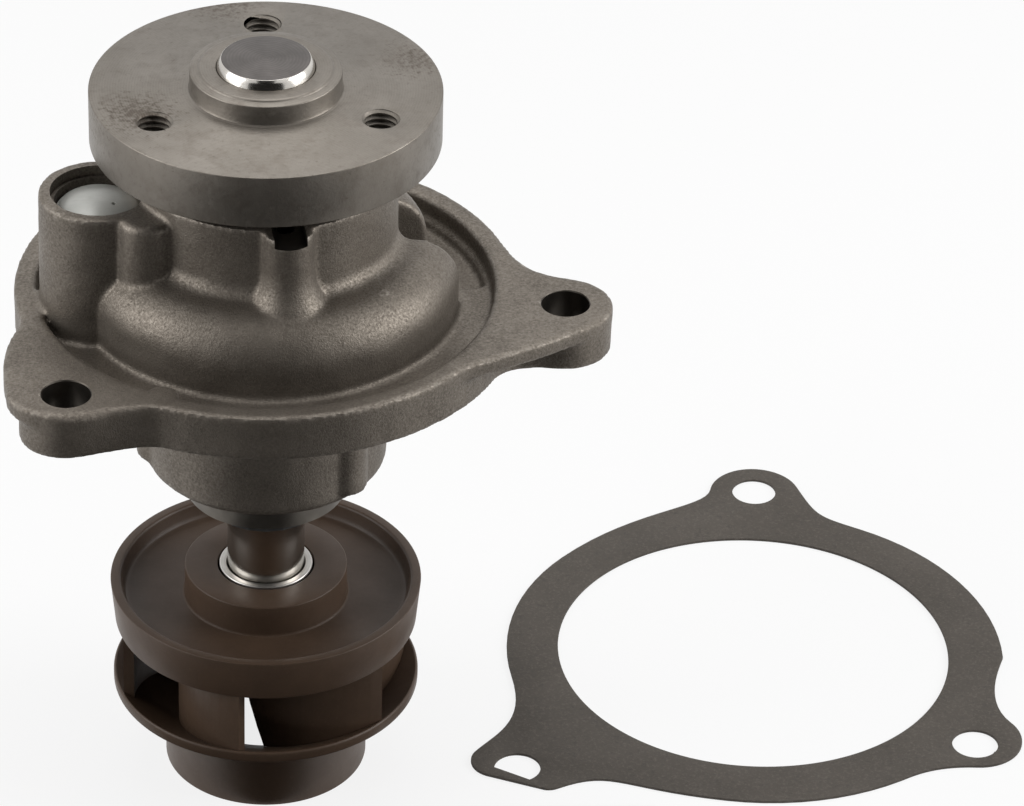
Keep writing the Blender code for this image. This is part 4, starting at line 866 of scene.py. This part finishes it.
# Gasket: die-cut from dark fibre sheet with the pump's three bolt holes, one of them cut off flat.
# It lies loose and face down beside the pump.
GASKET_PLACE, GASKET_TURN, GASKET_THICK, GASKET_EDGE = (83.8, 30.6), -48.6, 0.5, 0.1
GASKET_BORE, GASKET_BORE_MIDDLE, GASKET_RADIUS, GASKET_MIDDLE = 33.9, (3.3, 2.0), 43.1, (3.85, 2.1)
GASKET_HOLE, HOLE_FLAT, HOLE_FLAT_WAY = 3.9, 1.9, 72.5
GASKET_EARS = (
    {"tips": [((-30.3, -32.7), 8.1, 141.4, 294.2)],
     "roots": (-187.0, -108.4), "reach": (20.0, 6.0, 10.0, 8.6)},
    {"tips": [((46.7, -7.9), 7.85, -83.0, 44.8)],
     "roots": (-46.1, 10.4), "reach": (0.8, 8.2, 7.4, 2.4)},
    {"tips": [((6.3, 54.2), 3.05, 12.6, 56.4), ((-3.0, 57.3), 4.35, 66.4, 168.0)],
     "roots": (51.9, 122.2), "reach": (18.4, 11.0, 6.2, 13.8)},
)


def laid(point):
    """From the pump's plan to the gasket's place: turned over, turned and moved."""
    turn = math.radians(GASKET_TURN)
    x, y = point[0], -point[1]
    return (x * math.cos(turn) - y * math.sin(turn) + GASKET_PLACE[0],
            x * math.sin(turn) + y * math.cos(turn) + GASKET_PLACE[1])


sheet_outline = [laid(p) for p in reversed(flange_outline(GASKET_EARS, GASKET_RADIUS, GASKET_MIDDLE))]
gasket = plate("gasket_sheet", sheet_outline, 0.0, GASKET_THICK)
punches = [drill("punch", GASKET_HOLE, 0.0, GASKET_THICK, 0.0, laid(ear["hole"]), 40) for ear in EARS]
bpy.ops.object.mode_set(mode="EDIT")
bpy.ops.mesh.select_all(action="SELECT")
flat_way = polar(1.0, HOLE_FLAT_WAY)
flat_spot = laid(Vector(EARS[-1]["hole"]) + flat_way * HOLE_FLAT)
flat_end = laid(Vector(EARS[-1]["hole"]) + flat_way * (HOLE_FLAT + 1.0))
bpy.ops.mesh.bisect(plane_co=(flat_spot[0] * MM, flat_spot[1] * MM, 0.0),
                    plane_no=(flat_end[0] - flat_spot[0], flat_end[1] - flat_spot[1], 0.0),
                    use_fill=True, clear_outer=True)
close_up()
punches.append(drill("punch", GASKET_BORE, 0.0, GASKET_THICK, 0.0, laid(GASKET_BORE_MIDDLE), 160))
combine(gasket, "DIFFERENCE", *punches)
smooth_edges(gasket, GASKET_EDGE)


def fibre_finish():
    finish, tree, shader = new_finish("gasket_fibre")
    cloud = grain(tree, 12.0, 4.0, 0.6)
    fibre = grain(tree, 0.5, 3.0, 0.7)
    flecks = grain(tree, 0.9, 2.0, 0.6)
    base = ramp(tree, cloud, (0.3, (0.055, 0.0465, 0.0375)), (0.7, (0.074, 0.063, 0.052)))
    speckled = mixed(tree, ramp(tree, fibre, (0.5, 0.0), (0.75, 0.6)), base, (0.135, 0.117, 0.10))
    colour = mixed(tree, ramp(tree, flecks, (0.28, 0.6), (0.42, 0.0)), speckled, (0.042, 0.036, 0.031))
    tree.links.new(colour, shader.inputs["Base Color"])
    shader.inputs["Roughness"].default_value = 0.75
    tree.links.new(raised(tree, fibre, 0.06, 0.7), shader.inputs["Normal"])
    return finish


coat(gasket, fibre_finish())
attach(gasket, "gasket_body")
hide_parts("gasket")


# Room: a pale floor that keeps the shadow, white surroundings, soft boxes left, right and above, and
# dark flags in front that show in reflections; two of them also hold back soft light. The camera
# looks down from the front.
FLOOR_SIZE, FLOOR_GAP, FLOOR_GLOW, FILL = 6.0, 0.05, 0.82, 0.26
FLAG_LIFT = 0.3


def white_share(tree, share):
    """How far a surface counts as white background for the camera, reflections and glass."""
    path = tree.nodes.new("ShaderNodeLightPath")
    seen = math_of(tree, "MAXIMUM", path.outputs["Is Camera Ray"], path.outputs["Is Glossy Ray"])
    seen = math_of(tree, "MAXIMUM", seen, path.outputs["Is Transmission Ray"])
    return math_of(tree, "MULTIPLY", seen, share)


bpy.ops.object.select_all(action="DESELECT")
bpy.ops.mesh.primitive_plane_add(size=FLOOR_SIZE, location=(0.0, 0.0, level(-FLOOR_GAP)))
floor = bpy.context.object
floor.name = "floor"
paper = bpy.data.materials.new("white_floor")
paper.use_nodes = True
tree = paper.node_tree
surface = tree.nodes["Principled BSDF"]
surface.inputs["Base Color"].default_value = (0.88, 0.88, 0.88, 1.0)
surface.inputs["Roughness"].default_value = 0.9
glow = tree.nodes.new("ShaderNodeEmission")
glow.inputs["Strength"].default_value = 1.0
either = tree.nodes.new("ShaderNodeMixShader")
tree.links.new(white_share(tree, FLOOR_GLOW), either.inputs["Fac"])
tree.links.new(surface.outputs["BSDF"], either.inputs[1])
tree.links.new(glow.outputs["Emission"], either.inputs[2])
tree.links.new(either.outputs["Shader"], tree.nodes["Material Output"].inputs["Surface"])
floor.data.materials.append(paper)

flag_cloth = bpy.data.materials.new("flag_cloth")
flag_cloth.use_nodes = True
surface = flag_cloth.node_tree.nodes["Principled BSDF"]
surface.inputs["Base Color"].default_value = (0.015, 0.014, 0.013, 1.0)
surface.inputs["Roughness"].default_value = 1.0
FLAGS = (
    ("flag_low", (0.0, -0.44, level(FLAG_LIFT)), (0.0, 0.0, 0.0), (0.48, 0.66), False),
    ("flag_near", (0.0, -0.0635, level(FLAG_LIFT)), (0.0, 0.0, 0.0), (0.13, 0.093), True),
    ("flag_high", (0.0, -1.3, 0.35), (math.pi / 2, 0.0, 0.0), (2.2, 1.2), True),
    ("flag_over", (0.0, -0.57, 0.82), (math.radians(35.0), 0.0, 0.0), (0.66, 0.7), False),
)
for name, spot, turn, size, shades in FLAGS:
    bpy.ops.object.select_all(action="DESELECT")
    bpy.ops.mesh.primitive_plane_add(size=1.0, location=spot, rotation=turn)
    flag = bpy.context.object
    flag.name = name
    flag.scale = (size[0], size[1], 1.0)
    flag.data.materials.append(flag_cloth)
    flag.visible_camera = False
    flag.visible_diffuse = shades
    flag.visible_transmission = False
    flag.visible_shadow = False

SOFT_BOXES = (
    ("left_box", (-0.62, -0.12, 0.22), 0.5, 2.9),
    ("right_box", (0.78, -0.10, 0.26), 0.5, 4.7),
    ("top_box", (0.05, 0.25, 0.75), 0.7, 2.9),
)
for name, spot, size, power in SOFT_BOXES:
    box = bpy.data.lights.new(name, "AREA")
    box.size = size
    box.energy = power
    lamp = bpy.data.objects.new(name, box)
    lamp.location = spot
    aim = Vector((0.02, 0.0, -0.05)) - Vector(spot)
    lamp.rotation_euler = aim.to_track_quat("-Z", "Y").to_euler()
    bpy.context.scene.collection.objects.link(lamp)

world = bpy.data.worlds.new("white_room")
bpy.context.scene.world = world
world.use_nodes = True
tree = world.node_tree
air = tree.nodes["Background"]
air.inputs["Color"].default_value = (1.0, 1.0, 1.0, 1.0)
strength = math_of(tree, "MULTIPLY", white_share(tree, 1.0), 1.0 - FILL)
tree.links.new(math_of(tree, "ADD", strength, FILL), air.inputs["Strength"])

LENS, CAMERA_SPOT, CAMERA_PITCH, CAMERA_TURN = 196.99, (0.0, -0.76218, 0.43324), 56.865, -2.514
eye = bpy.data.cameras.new("photo_camera")
eye.lens = LENS
eye.sensor_width = 36.0
eye.clip_start = 0.01
camera = bpy.data.objects.new("photo_camera", eye)
camera.rotation_mode = "ZYX"
camera.rotation_euler = (math.radians(CAMERA_PITCH), math.radians(CAMERA_TURN), 0.0)
camera.location = CAMERA_SPOT
bpy.context.scene.collection.objects.link(camera)
bpy.context.scene.camera = camera
bpy.context.scene.view_settings.view_transform = "Standard"
